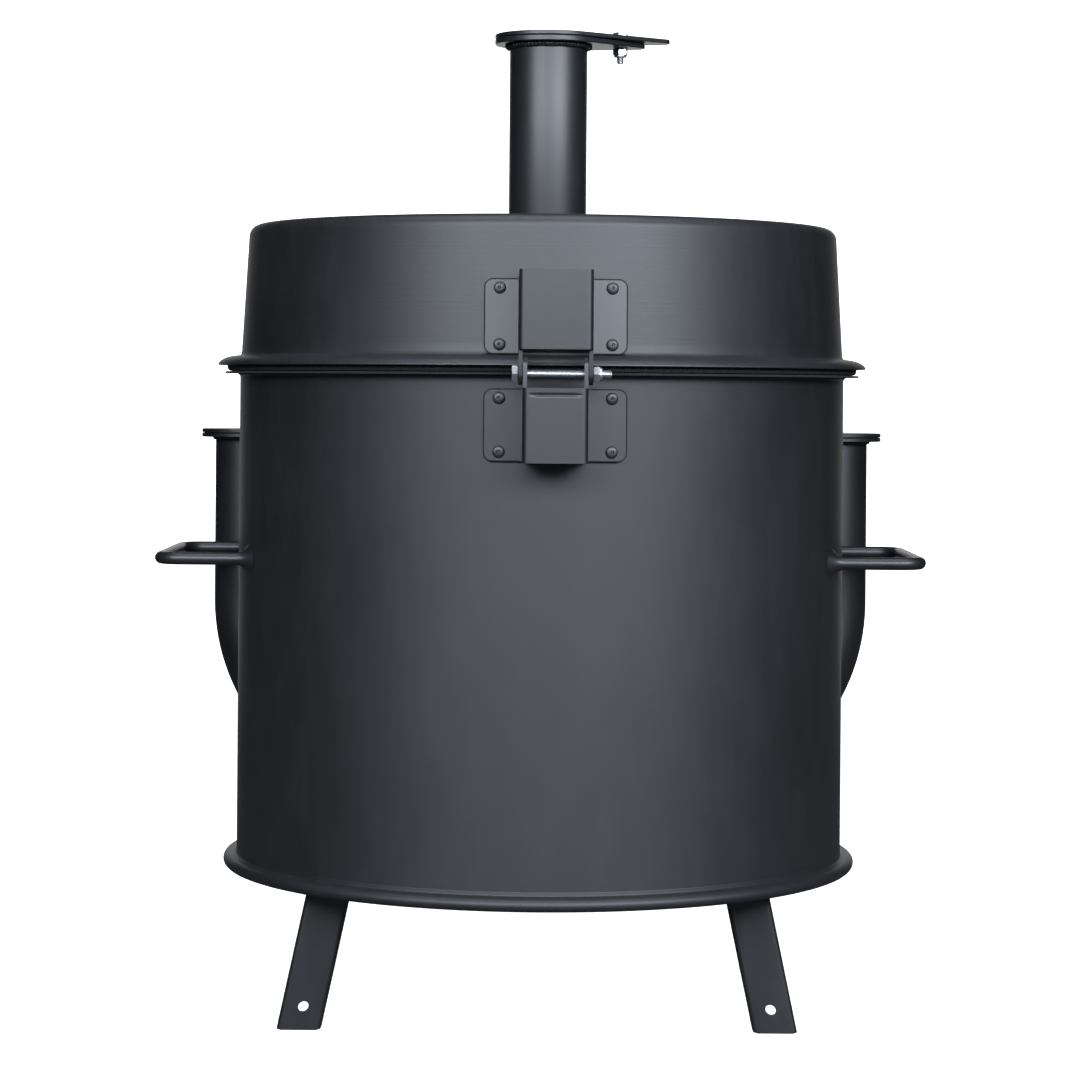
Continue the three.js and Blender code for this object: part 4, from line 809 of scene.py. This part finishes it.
# ---- The chimney ----
# A straight length of pipe that passes down through the lid's top and is welded round it. It carries the
# same seat and damper as the intakes, with the tabs pointing sideways.
CHIMNEY_TAB = math.radians(197)
CHIMNEY_SEAT, CHIMNEY_PLATE = 0.005, 0.004
chimney_low, chimney_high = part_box("chimney_pipe")
chimney_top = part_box("chimney_damper")[1].z
bore = PIPE_RADIUS - PIPE_WALL
pipe_profile = rounded([
    (bore, chimney_low.z + 0.02), (bore, chimney_low.z), (PIPE_RADIUS, chimney_low.z),
    (PIPE_RADIUS, chimney_high.z), (bore, chimney_high.z), (bore, chimney_high.z - 0.02),
], 0.0006, 3)
weld_ring = polar(PIPE_RADIUS + 0.0014, whole_turn(299)) + CHIMNEY
crown_level = np.interp(-np.hypot(*weld_ring.T), -lid_path[:, 0], lid_path[:, 1]) + 0.0008
head_level = np.full(len(weld_ring), chimney_high.z - 0.0012)
chimney = together(
    turned(pipe_profile, 96, CHIMNEY),
    weld_bead(np.column_stack([weld_ring, crown_level]), (0, 0, 1), PIPE_WELD, True),
    weld_bead(np.column_stack([weld_ring, head_level]), (0, 0, 1), 0.0028, True),
)
fit(made("chimney_pipe_welded", chimney), coat, "lid", "powder_coat", "chimney_pipe")
fit_vent("chimney_{}", "lid", "chimney_damper", CHIMNEY, CHIMNEY_TAB, chimney_top, CHIMNEY_SEAT,
         CHIMNEY_PLATE)

# ---- Hinge brackets ----
# Each is folded from one plate: two wings that follow the wall and are riveted to it, and a square hat
# between them. The hat's sides run on as round-ended ears, and one bolt goes through all four ears.
HINGE_X = -0.012
HINGE_PLATE, HINGE_REACH, HINGE_HALF_WIDTH = 0.0034, 0.352, 0.0635
HINGE_CORNER, HINGE_FOLD, HINGE_EAR = 0.008, 0.005, 0.0095
PIVOT_Y, PIVOT_LEVEL = 0.334, 0.6055
WING_FOLD, BRACKET_EDGE = 0.0016, 0.0008
UPPER_HALF, LOWER_HALF = 0.0322, 0.0282  # half the two hats' widths
UPPER_WINGS, UPPER_HAT_FOOT = (0.623, 0.690), 0.627  # heights of edges that the hats' boxes don't give
LOWER_WING_TOP, LOWER_HAT_TOP = 0.5928, 0.5935
GROOVE_DROP, GROOVE_HALF, GROOVE_DEPTH = 0.0061, 0.0215, 0.0009


def coat_with_painted_edge_shadow(name, half, foot, top):
    """Powder coat on a bracket, with a painted shadow: a thin band along the wings' cut edges is darkened
    to stand for the shade of the gap under them, and is matt there. The distance inside their outline is
    that of a rectangle with round corners, and the hat is clear."""
    finish, place = new_finish(name)
    x, _, level = place.parts()
    aside = (x - HINGE_X).math("ABSOLUTE")
    past = aside - (HINGE_HALF_WIDTH - HINGE_CORNER)
    over = (level - (foot + top) / 2).math("ABSOLUTE") - ((top - foot) / 2 - HINGE_CORNER)
    reach = past.math("MAXIMUM", 0.0).distance(over.math("MAXIMUM", 0.0))
    # Painted shadow: this band along the wings' cut edges is darkened in the Base Color below, for the shade
    # of the gap under them.
    edge = reach.between(HINGE_CORNER - 0.0014, HINGE_CORNER - 0.0007) * aside.between(half, half + 0.002)
    mottle = place.speckle(12, 3)
    grain = place.speckle(900, 2)
    color = mottle.between(0.3, 0.7).blend(COAT_DARK, COAT_LIGHT)
    return close_finish(finish, place, {
        "Base Color": edge.blend(color, (0.001, 0.001, 0.001, 1)),
        "Roughness": 0.40 + grain * 0.05 + edge * 0.55, "Normal": place.relief(grain, 0.00003),
    })


def bracket(name, body, half, wing_foot, wing_top, hat_foot, hat_top, ear_tip, wall, node, groove=None):
    """A bracket's outer face, from the flat path of its fold: (across, out) along the path, from a lower
    edge to an upper one. On the wings the distance out is the wall's own curve; up the sides it goes
    over to the hat's flat front."""
    wing_out = math.sqrt((wall(hat_foot) + CONTACT + HINGE_PLATE) ** 2 - (half + abs(HINGE_X)) ** 2)
    fold = rounded([
        (-HINGE_HALF_WIDTH, wing_out), (-half, wing_out), (-half, HINGE_REACH), (half, HINGE_REACH),
        (half, wing_out), (HINGE_HALF_WIDTH, wing_out),
    ], [WING_FOLD, HINGE_FOLD, HINGE_FOLD, WING_FOLD], 7)
    run = lengths(fold)
    tip = HINGE_HALF_WIDTH - HINGE_CORNER * (1 - np.sin(np.linspace(0, math.pi / 2, 8)))
    side = np.concatenate([PIVOT_Y + HINGE_EAR * np.sin(np.linspace(-math.pi / 2, math.pi / 2, 13)) * 0.9999,
                           [PIVOT_Y - HINGE_EAR - 0.00005, PIVOT_Y + HINGE_EAR + 0.00005]])
    web = np.linspace(-0.024, 0.024, 17)
    up_side = half + HINGE_REACH - (2 - math.pi / 2) * HINGE_FOLD - side
    on_wing = np.concatenate([np.interp(-tip, fold[:12, 0], run[:12]), np.linspace(0, run[1], 10)])
    lines = np.unique(np.round(np.concatenate([
        run, on_wing, run[-1] - on_wing, run[-1] / 2 + web, run[-1] / 2 - up_side, run[-1] / 2 + up_side,
    ]), 6))

    def place(along, share):
        """A point of the face, at a distance along the fold and a share of the height there."""
        across, out = (np.interp(along, run, part) for part in fold.T)
        off_wing = np.clip((out - wing_out) / WING_FOLD, 0, 1)
        from_tip = np.clip(np.abs(across) - (HINGE_HALF_WIDTH - HINGE_CORNER), 0, HINGE_CORNER)
        cut = HINGE_CORNER - np.sqrt(HINGE_CORNER ** 2 - from_tip ** 2)
        low = (wing_foot + cut) * (1 - off_wing) + hat_foot * off_wing
        high = (wing_top - cut) * (1 - off_wing) + hat_top * off_wing
        in_ear = (np.abs(out - PIVOT_Y) <= HINGE_EAR) & (np.abs(np.abs(across) - half) < 0.0004)
        round_end = np.sqrt(np.clip(HINGE_EAR ** 2 - (out - PIVOT_Y) ** 2, 0, None))
        if ear_tip < hat_foot:
            low = np.where(in_ear, ear_tip + HINGE_EAR - round_end, low)
        else:
            high = np.where(in_ear, ear_tip - HINGE_EAR + round_end, high)
        level = low + (high - low) * share
        x = HINGE_X + across
        on_wall = np.sqrt((wall(level) + CONTACT + HINGE_PLATE) ** 2 - x ** 2) - wing_out
        y = out + on_wall * np.clip((HINGE_REACH - out) / (HINGE_REACH - wing_out), 0, 1)
        if groove:
            ends = np.clip((GROOVE_HALF - np.abs(across)) / 0.002, 0, 1)
            ends = ends * (np.abs(across) < half - HINGE_FOLD)
            y = y - GROOVE_DEPTH * np.exp(-((level - groove) / 0.0011) ** 2) * ends
        return np.stack([x, y, level], -1)

    shares = np.linspace(0, 1, 12)
    if groove:
        across_groove = groove - hat_foot + np.linspace(-0.003, 0.003, 13)
        shares = np.unique(np.concatenate([shares, across_groove / (hat_top - hat_foot)]))
    piece = thicken(made(name, pierced(lines, shares, place), (0, 1, 0)), HINGE_PLATE, BRACKET_EDGE)
    fit(piece, coat_with_painted_edge_shadow(name + "_coat", half, wing_foot, wing_top), body, "powder_coat", node)


low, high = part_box("hinge_bracket_upper")
bracket("hinge_hat_upper", "lid", UPPER_HALF, *UPPER_WINGS, UPPER_HAT_FOOT, high.z, low.z, lid_wall_radius,
        "hinge_bracket_upper")
low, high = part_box("hinge_bracket_lower")
bracket("hinge_hat_lower", "drum", LOWER_HALF, low.z, LOWER_WING_TOP, low.z, LOWER_HAT_TOP, high.z,
        drum_wall_radius, "hinge_bracket_lower", groove=LOWER_HAT_TOP - GROOVE_DROP)

# ---- Rivets ----
# Blind rivets, set before the smoker is coated: a low round head, a shallow dish where the mandrel broke
# off, and the tail's bulge inside the wall.
RIVET_SPAN, RIVET_HEAD, RIVET_HEIGHT, RIVET_TAIL, RIVET_SHANK = 0.0983, 0.0056, 0.0024, 0.0040, 0.0026
RIVET_TAIL_FOOT = -0.0068
rivet_tail = [(0, RIVET_TAIL_FOOT), (RIVET_TAIL, RIVET_TAIL_FOOT), (RIVET_TAIL, -RIVET_SHANK),
              (RIVET_SHANK, -RIVET_SHANK), (RIVET_SHANK, 0.0)]
rivet_head = [(RIVET_SHANK, 0.0), (RIVET_HEAD, 0.0), (RIVET_HEAD * 0.93, RIVET_HEIGHT * 0.62),
              (0.0028, RIVET_HEIGHT)]
rivet_dish = [(0.0017, 0.98), (0.0014, 0.55), (0.0009, 0.5), (0.0007, 0.9), (0, 0.95)]
rivet_profile = np.concatenate([
    rounded(rivet_tail, 0.0008, 4)[:-1], rounded(rivet_head, [0.0003, 0.0012], 5)[1:],
    rounded(np.multiply(rivet_dish, (1, RIVET_HEIGHT)), 0.0002, 3),
])


def rivets(nodes, wall, taper):
    """The rivets of one bracket, each turned about its own axis and laid square to the wall."""
    shells = []
    for node in nodes:
        low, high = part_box(node)
        x, level = (low.x + high.x) / 2, (low.z + high.z) / 2
        level -= math.sin(taper) * 0.002
        radius = wall(level) + CONTACT + HINGE_PLATE + 0.0002
        x = HINGE_X + math.copysign(RIVET_SPAN / 2, x - HINGE_X)
        angle = math.asin(x / wall(level))
        flat = np.array([math.sin(angle), math.cos(angle), 0])
        out = flat * math.cos(taper) + np.array([0, 0, math.sin(taper)])
        across = np.cross((0, 0, 1), flat)
        rivet = turned(rivet_profile, 28, ring=False)
        shells.append(laid(rivet, across, np.cross(out, across), out, flat * radius + (0, 0, level)))
    return together(*shells)


for name, body, wall, taper in [
        ("upper", "lid", lid_wall_radius, LID_TAPER), ("lower", "drum", drum_wall_radius, 0.0)]:
    nodes = [f"hinge_rivet_{name}_{number}" for number in range(1, 5)]
    fit(made("hinge_rivets_" + name, rivets(nodes, wall, taper)), coat, body, "powder_coat", *nodes)

# ---- The hinge bolt ----
# A zinc-plated bolt through all four ears, with a locking nut left loose enough for the lid to swing.
HINGE_BOLT, HINGE_HEAD, HINGE_NUT, HINGE_NUT_HEIGHT = 0.004, 0.0083, 0.0074, 0.006
NUT_COLLAR = 0.002  # height of the nut's nylon collar
bolt_low, bolt_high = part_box("hinge_bolt")
head_seat = HINGE_X + UPPER_HALF + CONTACT
bolt = together(hexagonal(HINGE_HEAD, bolt_high.x - head_seat),
                threaded(HINGE_BOLT, bolt_low.x - head_seat, 0.0005))
nut_collar = rounded([(0, 0), (0.0058, 0), (0.006, 0.003), (0, 0.003)], 0.001, 4)
nut = together(raised(hexagonal(HINGE_NUT, HINGE_NUT_HEIGHT), NUT_COLLAR), turned(nut_collar, 36, ring=False))
for name, shell, x in [("hinge_bolt", bolt, head_seat), ("hinge_nut", nut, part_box("hinge_nut")[0].x)]:
    piece = made(name + "_zinc", laid(shell, (0, -1, 0), (0, 0, 1), (1, 0, 0), (x, PIVOT_Y, PIVOT_LEVEL)))
    fit(piece, zinc, "drum", "zinc", name)

# ---- Lid thermometer ----
# A spun steel case on the lid's front with a printed dial under a domed glass. The coiled strip in the
# stem turns the needle. A nut inside the lid holds it.
DIAL_LEVEL, DIAL_RADIUS, CASE_FRONT = 0.694, 0.031, 0.0153
DIAL_FACE, TICK_FOOT, TICK_TOP, NUMBER_RING = 0.0047, 0.0243, 0.0268, 0.0178
NEEDLE_LEVEL, NEEDLE_REACH = 0.0050, 0.0228
LENS_RADIUS, LENS_LEVEL = 0.0286, 0.0122
NEEDLE_COLD = math.radians(130)
DIAL_SWEEP = math.radians(260)
dial_out = np.array([0, -math.cos(LID_TAPER), math.sin(LID_TAPER)])
dial_up = np.array([0, math.sin(LID_TAPER), math.cos(LID_TAPER)])
dial_seat = np.array([0, -lid_wall_radius(DIAL_LEVEL), DIAL_LEVEL])


def on_dial(shell):
    """A surface made flat, with its front towards +Z, laid on the lid's wall."""
    return laid(shell, (1, 0, 0), dial_up, dial_out, dial_seat)


def brushed_steel(name):
    """Stainless steel, lathe-turned: fine rings round the dial and a few handling marks."""
    finish, place = new_finish(name)
    x, y, z = place.parts()
    ring = place.node("CombineXYZ", {}, {0: x.distance(z - DIAL_LEVEL), 1: y}).speckle(2400, 2, 0.6)
    smear = place.speckle(70, 4, 0.6)
    color = smear.between(0.3, 0.75).blend((0.60, 0.60, 0.59, 1), (0.48, 0.48, 0.48, 1))
    return close_finish(finish, place, {
        "Base Color": color, "Metallic": 1.0, "Roughness": 0.2 + smear * 0.12 + ring * 0.08,
        "Normal": place.relief(ring, 0.00003),
    })


def dial_print(name):
    """White enamel with printed ticks: each tick is a stretch of angle that repeats round the sweep, and
    a band of red lies past two thirds of it. The paper's tone varies a little."""
    finish, place = new_finish(name)
    x, _, z = place.parts()
    lift = z - (DIAL_LEVEL + 0.0045 * math.sin(LID_TAPER))
    radius = x.distance(lift)
    turn = (x.math("ARCTAN2", lift) + NEEDLE_COLD) / DIAL_SWEEP
    inside = turn.between(-0.004, -0.003) * (1 - turn.between(1.003, 1.004))

    def band(low, high):
        """1 on the sweep between two radii."""
        return radius.between(low, low + 0.0001) * (1 - radius.between(high, high + 0.0001)) * inside

    def ticks(count, width, low):
        """1 on each of count ticks from a radius outward."""
        away = ((turn * count + 0.5).math("FRACT") - 0.5).math("ABSOLUTE")
        return (1 - away.between(width, width * 1.35)) * band(low, TICK_TOP)

    marks = ticks(7, 0.016, 0.0215).math("MAXIMUM", ticks(35, 0.05, TICK_FOOT))
    hot = band(TICK_FOOT, TICK_TOP) * turn.between(0.70, 0.705)
    tone = place.speckle(90, 3).between(0.3, 0.8).blend((0.74, 0.73, 0.70, 1), (0.68, 0.67, 0.63, 1))
    color = hot.blend(tone, (0.55, 0.06, 0.03, 1))
    color = marks.math("MAXIMUM", band(TICK_TOP, 0.0273)).blend(color, (0.015, 0.015, 0.016, 1))
    return close_finish(finish, place, {
        "Base Color": color, "Roughness": 0.5 + place.speckle(300, 2) * 0.1,
        "Normal": place.relief(place.speckle(800, 2), 0.00001),
    })


steel = brushed_steel("thermometer_steel")
case = rounded([
    (0, CONTACT), (0.029, CONTACT), (0.030, 0.0103), (DIAL_RADIUS, 0.0113), (DIAL_RADIUS, CASE_FRONT),
    (0.0278, CASE_FRONT), (0.0280, 0.0143), (0.029, 0.0140), (0.029, 0.0023), (0, 0.0023),
], [0.0012, 0.001, 0.0006, 0.0009, 0.0006, 0.0003, 0.0003, 0.0005], 5)
fit(made("thermometer_case_spun", on_dial(turned(case, 96, ring=False))), steel, "lid", "zinc",
    "thermometer_case")
dial = [(0.0012, 0.0039), (0.0287, 0.0039), (0.0287, DIAL_FACE), (0.0012, DIAL_FACE)]
fit(made("thermometer_dial_plate", on_dial(turned(dial, 72))), dial_print("dial_print"), "lid", "dial",
    "thermometer_dial")

# The dial's numbers, every fifty degrees, are printed on it as flat ink.
ink, place = new_finish("dial_ink")
ink_tone = place.speckle(500, 2).blend((0.014, 0.014, 0.015, 1), (0.03, 0.03, 0.03, 1))
close_finish(ink, place, {"Base Color": ink_tone, "Roughness": 0.55})
numbers = []
for step in range(8):
    lettering = bpy.data.curves.new("number", "FONT")
    lettering.body, lettering.size = str(step * 50), 0.0043
    lettering.align_x, lettering.align_y = "CENTER", "CENTER"
    writing = bpy.data.objects.new("number", lettering)
    flat = bpy.data.meshes.new_from_object(writing)
    corners = np.empty(len(flat.vertices) * 3)
    flat.vertices.foreach_get("co", corners)
    turn = math.pi / 2 + NEEDLE_COLD - DIAL_SWEEP * step / 7
    faces = [np.array([face.vertices[:]]) for face in flat.polygons]
    numbers.append((corners.reshape(-1, 3) + polar(NUMBER_RING, turn, DIAL_FACE + 0.00005), faces))
    bpy.data.objects.remove(writing)
    bpy.data.meshes.remove(flat)
fit(made("thermometer_numbers", on_dial(together(*numbers)), dial_out), ink, "lid", "dial")

needle_finish, place = new_finish("needle_enamel")
worn = place.speckle(700, 3).between(0.35, 0.75)
close_finish(needle_finish, place, {
    "Base Color": worn.blend((0.50, 0.035, 0.02, 1), (0.34, 0.025, 0.018, 1)), "Roughness": 0.32 + worn * 0.2,
})
share = np.linspace(-1, 1, 40)
blade = np.where(share < 0, 0.0012 + 0.0006 * -share, 0.0012 * (1 - share) + 0.0003)
length = np.where(share < 0, share * NEEDLE_REACH / 3, share * NEEDLE_REACH)
outline = np.concatenate([np.stack([blade, length], -1), np.stack([-blade, length], -1)[::-1]])
hub = rounded([(0, NEEDLE_LEVEL), (0.0032, NEEDLE_LEVEL), (0.0032, 0.0063), (0, 0.0066)], 0.0005, 4)
pointer = together(
    plate(outline, NEEDLE_LEVEL, 0.0056, edge=0.0001), turned(hub, 32, ring=False),
    turned([(0, 0.0030), (0.0009, 0.0030), (0.0009, 0.0052), (0, 0.0052)], 16, ring=False),
)
fit(made("thermometer_needle_blade", on_dial(facing_out(pointer, NEEDLE_COLD))), needle_finish, "needle",
    "needle", "thermometer_needle")

glass, place = new_finish("thermometer_glass")
film = place.speckle(120, 4).between(0.4, 0.9)
close_finish(glass, place, {
    "Base Color": (0.98, 0.99, 1, 1), "Roughness": 0.02 + film * 0.06, "IOR": 1.5, "Transmission Weight": 1.0,
})
dome = np.linspace(0, 1, 14)
lens = np.concatenate([
    np.stack([LENS_RADIUS * dome, LENS_LEVEL + 0 * dome], -1),
    np.stack([LENS_RADIUS * dome[::-1], 0.0140 - 0.0006 * dome[::-1] ** 2], -1),
])
fit(made("thermometer_lens_glass", on_dial(turned(lens, 72, ring=False))), glass, "lid", "lens",
    "thermometer_lens")


def recoat(node, finish):
    """Puts a material on a piece that is carried over from the frame."""
    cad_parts[node].data.materials.clear()
    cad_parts[node].data.materials.append(finish)


recoat("thermometer_stem", zinc)
recoat("thermometer_nut", zinc)

# ---- Cooking grate ----
# Plated rods spot-welded across a round rim, with two ties under them. It rests on four folded lugs
# welded inside the wall, and has browned over the fire.
GRATE_RIM, GRATE_ROD, GRATE_PITCH, GRATE_TIE = 0.004, 0.0025, 0.030, 0.130


def heated_rod(name, base, brown, pits):
    """Plated rod that has been over a fire: straw and brown in drifts, duller where grease baked on."""
    finish, place = new_finish(name)
    drift = place.speckle(11, 5, 0.6).between(0.36, 0.7)
    bead = place.speckle(240, 4, 0.65).between(0.52, 0.7)
    color = drift.blend(base, brown)
    color = (bead * 0.6).blend(color, (0.03, 0.024, 0.02, 1))
    return close_finish(finish, place, {
        "Base Color": color, "Metallic": 1 - bead * 0.55, "Roughness": 0.27 + drift * 0.18 + bead * 0.3,
        "Normal": place.relief(bead, pits),
    })


def rod_grate(radius, rim, rod, pitch, foot, ties):
    """A grate: a round rim, rods whose ends follow its circle and lie level with its top, and ties."""
    centre = radius - rim
    shells = [turned(circle(rim, 16) + (centre, foot + rim), 144)]
    rows = math.floor((centre - pitch / 2) / pitch)
    level = foot + 2 * rim - rod
    for x in np.arange(-rows, rows + 1) * pitch:
        half = math.sqrt(centre ** 2 - x ** 2)
        shells.append(carried(circle(rod, 12), [(x, -half, level), (x, half, level)], (0, 0, 1)))
    for y in ties:
        half = math.sqrt(centre ** 2 - y ** 2)
        shells.append(carried(circle(rod, 12), [(-half, y, foot + rod), (half, y, foot + rod)], (0, 0, 1)))
    return together(*shells)


low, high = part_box("cooking_grate")
plated = heated_rod("grate_plating", (0.55, 0.54, 0.52, 1), (0.30, 0.22, 0.15, 1), 0.0004)
rods = rod_grate(high.x, GRATE_RIM, GRATE_ROD, GRATE_PITCH, low.z, (-GRATE_TIE, GRATE_TIE))
fit(made("cooking_grate_rods", rods), plated, "cooking_grate", "grate_steel", "cooking_grate")
for number in range(1, 5):
    recoat(f"grate_lug_{number}", coat)

# ---- Ash pan ----
# A shallow pressed dish of thin steel that lies on the drum's floor and catches the basket's ash.
PAN_SHEET, PAN_FLARE = 0.0016, 0.008
low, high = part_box("ash_pan")
pan_foot = high.x - PAN_FLARE
pan = rounded([
    (0, low.z), (pan_foot, low.z), (high.x, high.z), (high.x - PAN_SHEET, high.z),
    (pan_foot - PAN_SHEET, low.z + PAN_SHEET), (0, low.z + PAN_SHEET),
], [0.004, 0.0007, 0.0007, 0.003], 5)


def fired_steel(name, ash):
    """Bare steel that has been through fires: blue-black scale, rust at its pits, and ash where it lies."""
    finish, place = new_finish(name)
    scale = place.speckle(16, 5, 0.6).between(0.35, 0.7)
    rust = place.speckle(55, 6, 0.68).between(0.56, 0.7)
    grit = place.speckle(520, 3, 0.7).between(0.5, 0.75)
    color = scale.blend((0.075, 0.072, 0.072, 1), (0.035, 0.036, 0.042, 1))
    color = (rust * 0.8).blend(color, (0.16, 0.062, 0.026, 1))
    color = (grit * ash).blend(color, (0.30, 0.29, 0.275, 1))
    return close_finish(finish, place, {
        "Base Color": color, "Metallic": 0.75 - rust * 0.65 - grit * ash * 0.6,
        "Roughness": 0.48 + rust * 0.35 + grit * 0.12,
        "Normal": place.relief(rust, 0.0003, place.relief(grit, 0.00015)),
    })


fit(made("ash_pan_dish", turned(pan, 120, ring=False)), fired_steel("pan_steel", 0.8), "ash_pan",
    "fire_steel", "ash_pan")

# ---- Charcoal basket ----
# A cylinder of sheet pierced by two rows of slots, on four legs of the same sheet, with a turned-in foot
# that carries the fire grate. A bar bent over it is its handle.
BASKET_RADIUS, BASKET_SHEET, BASKET_LEG, BASKET_SLOTS = 0.185, 0.0025, 0.026, 16
BASKET_SHELF, BASKET_LEG_TURN = 0.010, 0.0811
SLOT_HALF_WIDTH, SLOT_HALF_HEIGHT = 0.018, 0.0304
FIRE_ROD, FIRE_PITCH, BAIL_ROD, BAIL_BEND = 0.003, 0.036, 0.004, 0.045
low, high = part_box("charcoal_basket")
basket_foot = low.z + BASKET_LEG
basket_height = high.z - basket_foot


def basket_place(azimuth, level):
    """The basket's outer face: its radius at an azimuth, at a height."""
    return polar(BASKET_RADIUS, azimuth, level)


def slot_edge(middle, level):
    """The edge of a slot with round corners: each of cosine and sine pulled out to a rectangle."""
    def outline(angle):
        square = polar(1, angle)
        square = np.sign(square) * np.abs(square) ** 0.45
        return square * (SLOT_HALF_WIDTH / BASKET_RADIUS, SLOT_HALF_HEIGHT) + (middle, level)
    return outline


slot_step = 2 * math.pi / BASKET_SLOTS
slot_side, slot_end = 0.42 * slot_step, 0.036  # half the width and height of the grid lines round a slot
slot_middles = (np.arange(BASKET_SLOTS) + 0.5) * slot_step
slot_lines = (slot_middles[:, None] + np.linspace(-slot_side, slot_side, 9)).ravel()
basket_lines = np.sort(np.concatenate([[0], slot_lines, [2 * math.pi]]))
slot_levels = [basket_foot + basket_height * share for share in (0.29, 0.71)]
rows = [level + np.linspace(-slot_end, slot_end, 9) for level in slot_levels]
edges = [basket_foot, basket_foot + 0.006, high.z - 0.006, high.z]
basket_levels = np.unique(np.round(np.concatenate([edges, *rows]), 6))
slots = [
    (middle - slot_side, middle + slot_side, level - slot_end, level + slot_end, slot_edge(middle, level))
    for middle in slot_middles for level in slot_levels
]
fire_steel = fired_steel("basket_steel", 0.35)
basket = made("charcoal_basket_wall", pierced(basket_lines, basket_levels, basket_place, slots, 2), from_axis)
fit(thicken(basket, BASKET_SHEET, 0.0003), fire_steel, "basket", "fire_steel", "charcoal_basket")
inner = BASKET_RADIUS - BASKET_SHEET
shelf = rounded([
    (inner, basket_foot + BASKET_SHEET), (inner - BASKET_SHELF, basket_foot + BASKET_SHEET),
    (inner - BASKET_SHELF, basket_foot), (BASKET_RADIUS - 0.0006, basket_foot),
], 0.0006, 3)
feet = [turned(shelf, 128)]
for quarter in range(4):
    turn = quarter * math.pi / 2 + np.linspace(-BASKET_LEG_TURN, BASKET_LEG_TURN, 9)
    rim = np.concatenate([polar(BASKET_RADIUS, turn), polar(inner, turn)[::-1]])
    feet.append(plate(rim, low.z, basket_foot + 0.004, edge=0.0002))
fit(made("charcoal_basket_foot", together(*feet)), fire_steel, "basket", "fire_steel")
low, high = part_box("fire_grate")
rods = rod_grate(high.x, FIRE_ROD, FIRE_ROD, FIRE_PITCH, low.z, (0,))
fit(made("fire_grate_rods", rods), fire_steel, "basket", "fire_steel", "fire_grate")
low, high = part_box("basket_handle")
bail_half, bail_top = high.y - BAIL_ROD, high.z - BAIL_ROD
bail = rounded([(0, -bail_half, low.z), (0, -bail_half, bail_top), (0, bail_half, bail_top),
                (0, bail_half, low.z)], BAIL_BEND, 12)
fit(made("basket_handle_bail", carried(circle(BAIL_ROD, 16), bail, (1, 0, 0))), fire_steel, "basket",
    "fire_steel", "basket_handle")

# ---- Ground, light and camera ----
# A pale studio floor under a white surround, soft lights in front of the hinge side and over the lid, and
# a level camera on that side.
pale, place = new_finish("studio_floor")
tone = place.speckle(3, 2).between(0.2, 0.8).blend((0.86, 0.86, 0.86, 1), (0.82, 0.82, 0.82, 1))
seen = place.node("LightPath")
close_finish(pale, place, {
    "Base Color": seen.blend((0.05, 0.05, 0.05, 1), tone), "Roughness": 0.9,
    "Emission Color": seen.blend((0, 0, 0, 1), (1, 1, 1, 1)), "Emission Strength": 1.0,
})
spread = np.array([(-60, -3, 0), (60, -3, 0), (60, 60, 0), (-60, 60, 0)], float)
ground = made("studio_ground", (spread, [np.array([[0, 1, 2, 3]])]), (0, 0, 1))
ground.data.materials.append(pale)


def soft_light(name, place, aim, size, power):
    """A flat soft light at a place, turned to face an aim."""
    lamp = bpy.data.lights.new(name, "AREA")
    lamp.shape, lamp.energy, lamp.color = "RECTANGLE", power, (0.90, 0.97, 1.09)
    lamp.size, lamp.size_y = size
    holder = bpy.data.objects.new(name, lamp)
    away = np.asarray(place, float) - np.asarray(aim, float)
    away /= np.linalg.norm(away)
    across = np.cross((0, 0, 1), away)
    across /= np.linalg.norm(across)
    basis = np.eye(4)
    basis[:3, :3] = np.stack([across, np.cross(away, across), away], -1)
    basis[:3, 3] = place
    holder.matrix_world = Matrix(basis)
    bpy.context.scene.collection.objects.link(holder)


LIGHT_DISTANCE = 3.3
for name, azimuth, level, size, power in [
        ("left", 25, 1.62, (2.2, 0.9), 128), ("right", -33, 1.62, (2.4, 0.9), 168),
        ("middle", -3, 1.66, (0.9, 1.3), 44)]:
    spot = polar(LIGHT_DISTANCE, math.radians(90 - azimuth), level)
    soft_light("studio_" + name, spot, (0, 0, 0.45), size, power)
soft_light("studio_top", (0, 0.6, 2.7), (0, 0.1, 0.6), (2.4, 0.8), 42)

# The surround is white where the camera sees it and behind the smoker, and dim to the sides.
world = bpy.data.worlds.new("studio")
world.use_nodes = True
tree = world.node_tree
tree.nodes.clear()
seen = Wire(tree, tree.nodes.new("ShaderNodeLightPath").outputs["Is Camera Ray"])
looking = Wire(tree, tree.nodes.new("ShaderNodeTexCoord").outputs["Generated"])
behind = (0 - looking.parts()[1]).between(0.88, 0.98)
strength = seen.math("MAXIMUM", 0.011 + behind * 2.2)
surround = seen.node("Background", {}, {"Color": (1, 1, 1, 1), "Strength": strength})
seen.node("OutputWorld", {}, {"Surface": surround})
bpy.context.scene.world = world
bpy.context.scene.view_settings.view_transform = "Standard"

CAMERA_DISTANCE, CAMERA_LEVEL, CAMERA_ROLL = 3.05, 0.596, math.radians(-0.45)
lens = bpy.data.cameras.new("camera")
lens.lens, lens.sensor_width = 104.5, 36
lens.shift_x, lens.shift_y = -0.0017, -0.1435
camera = bpy.data.objects.new("camera", lens)
camera.location = (0, CAMERA_DISTANCE, CAMERA_LEVEL)
camera.rotation_euler = (math.pi / 2, CAMERA_ROLL, math.pi)
bpy.context.scene.collection.objects.link(camera)
bpy.context.scene.camera = camera
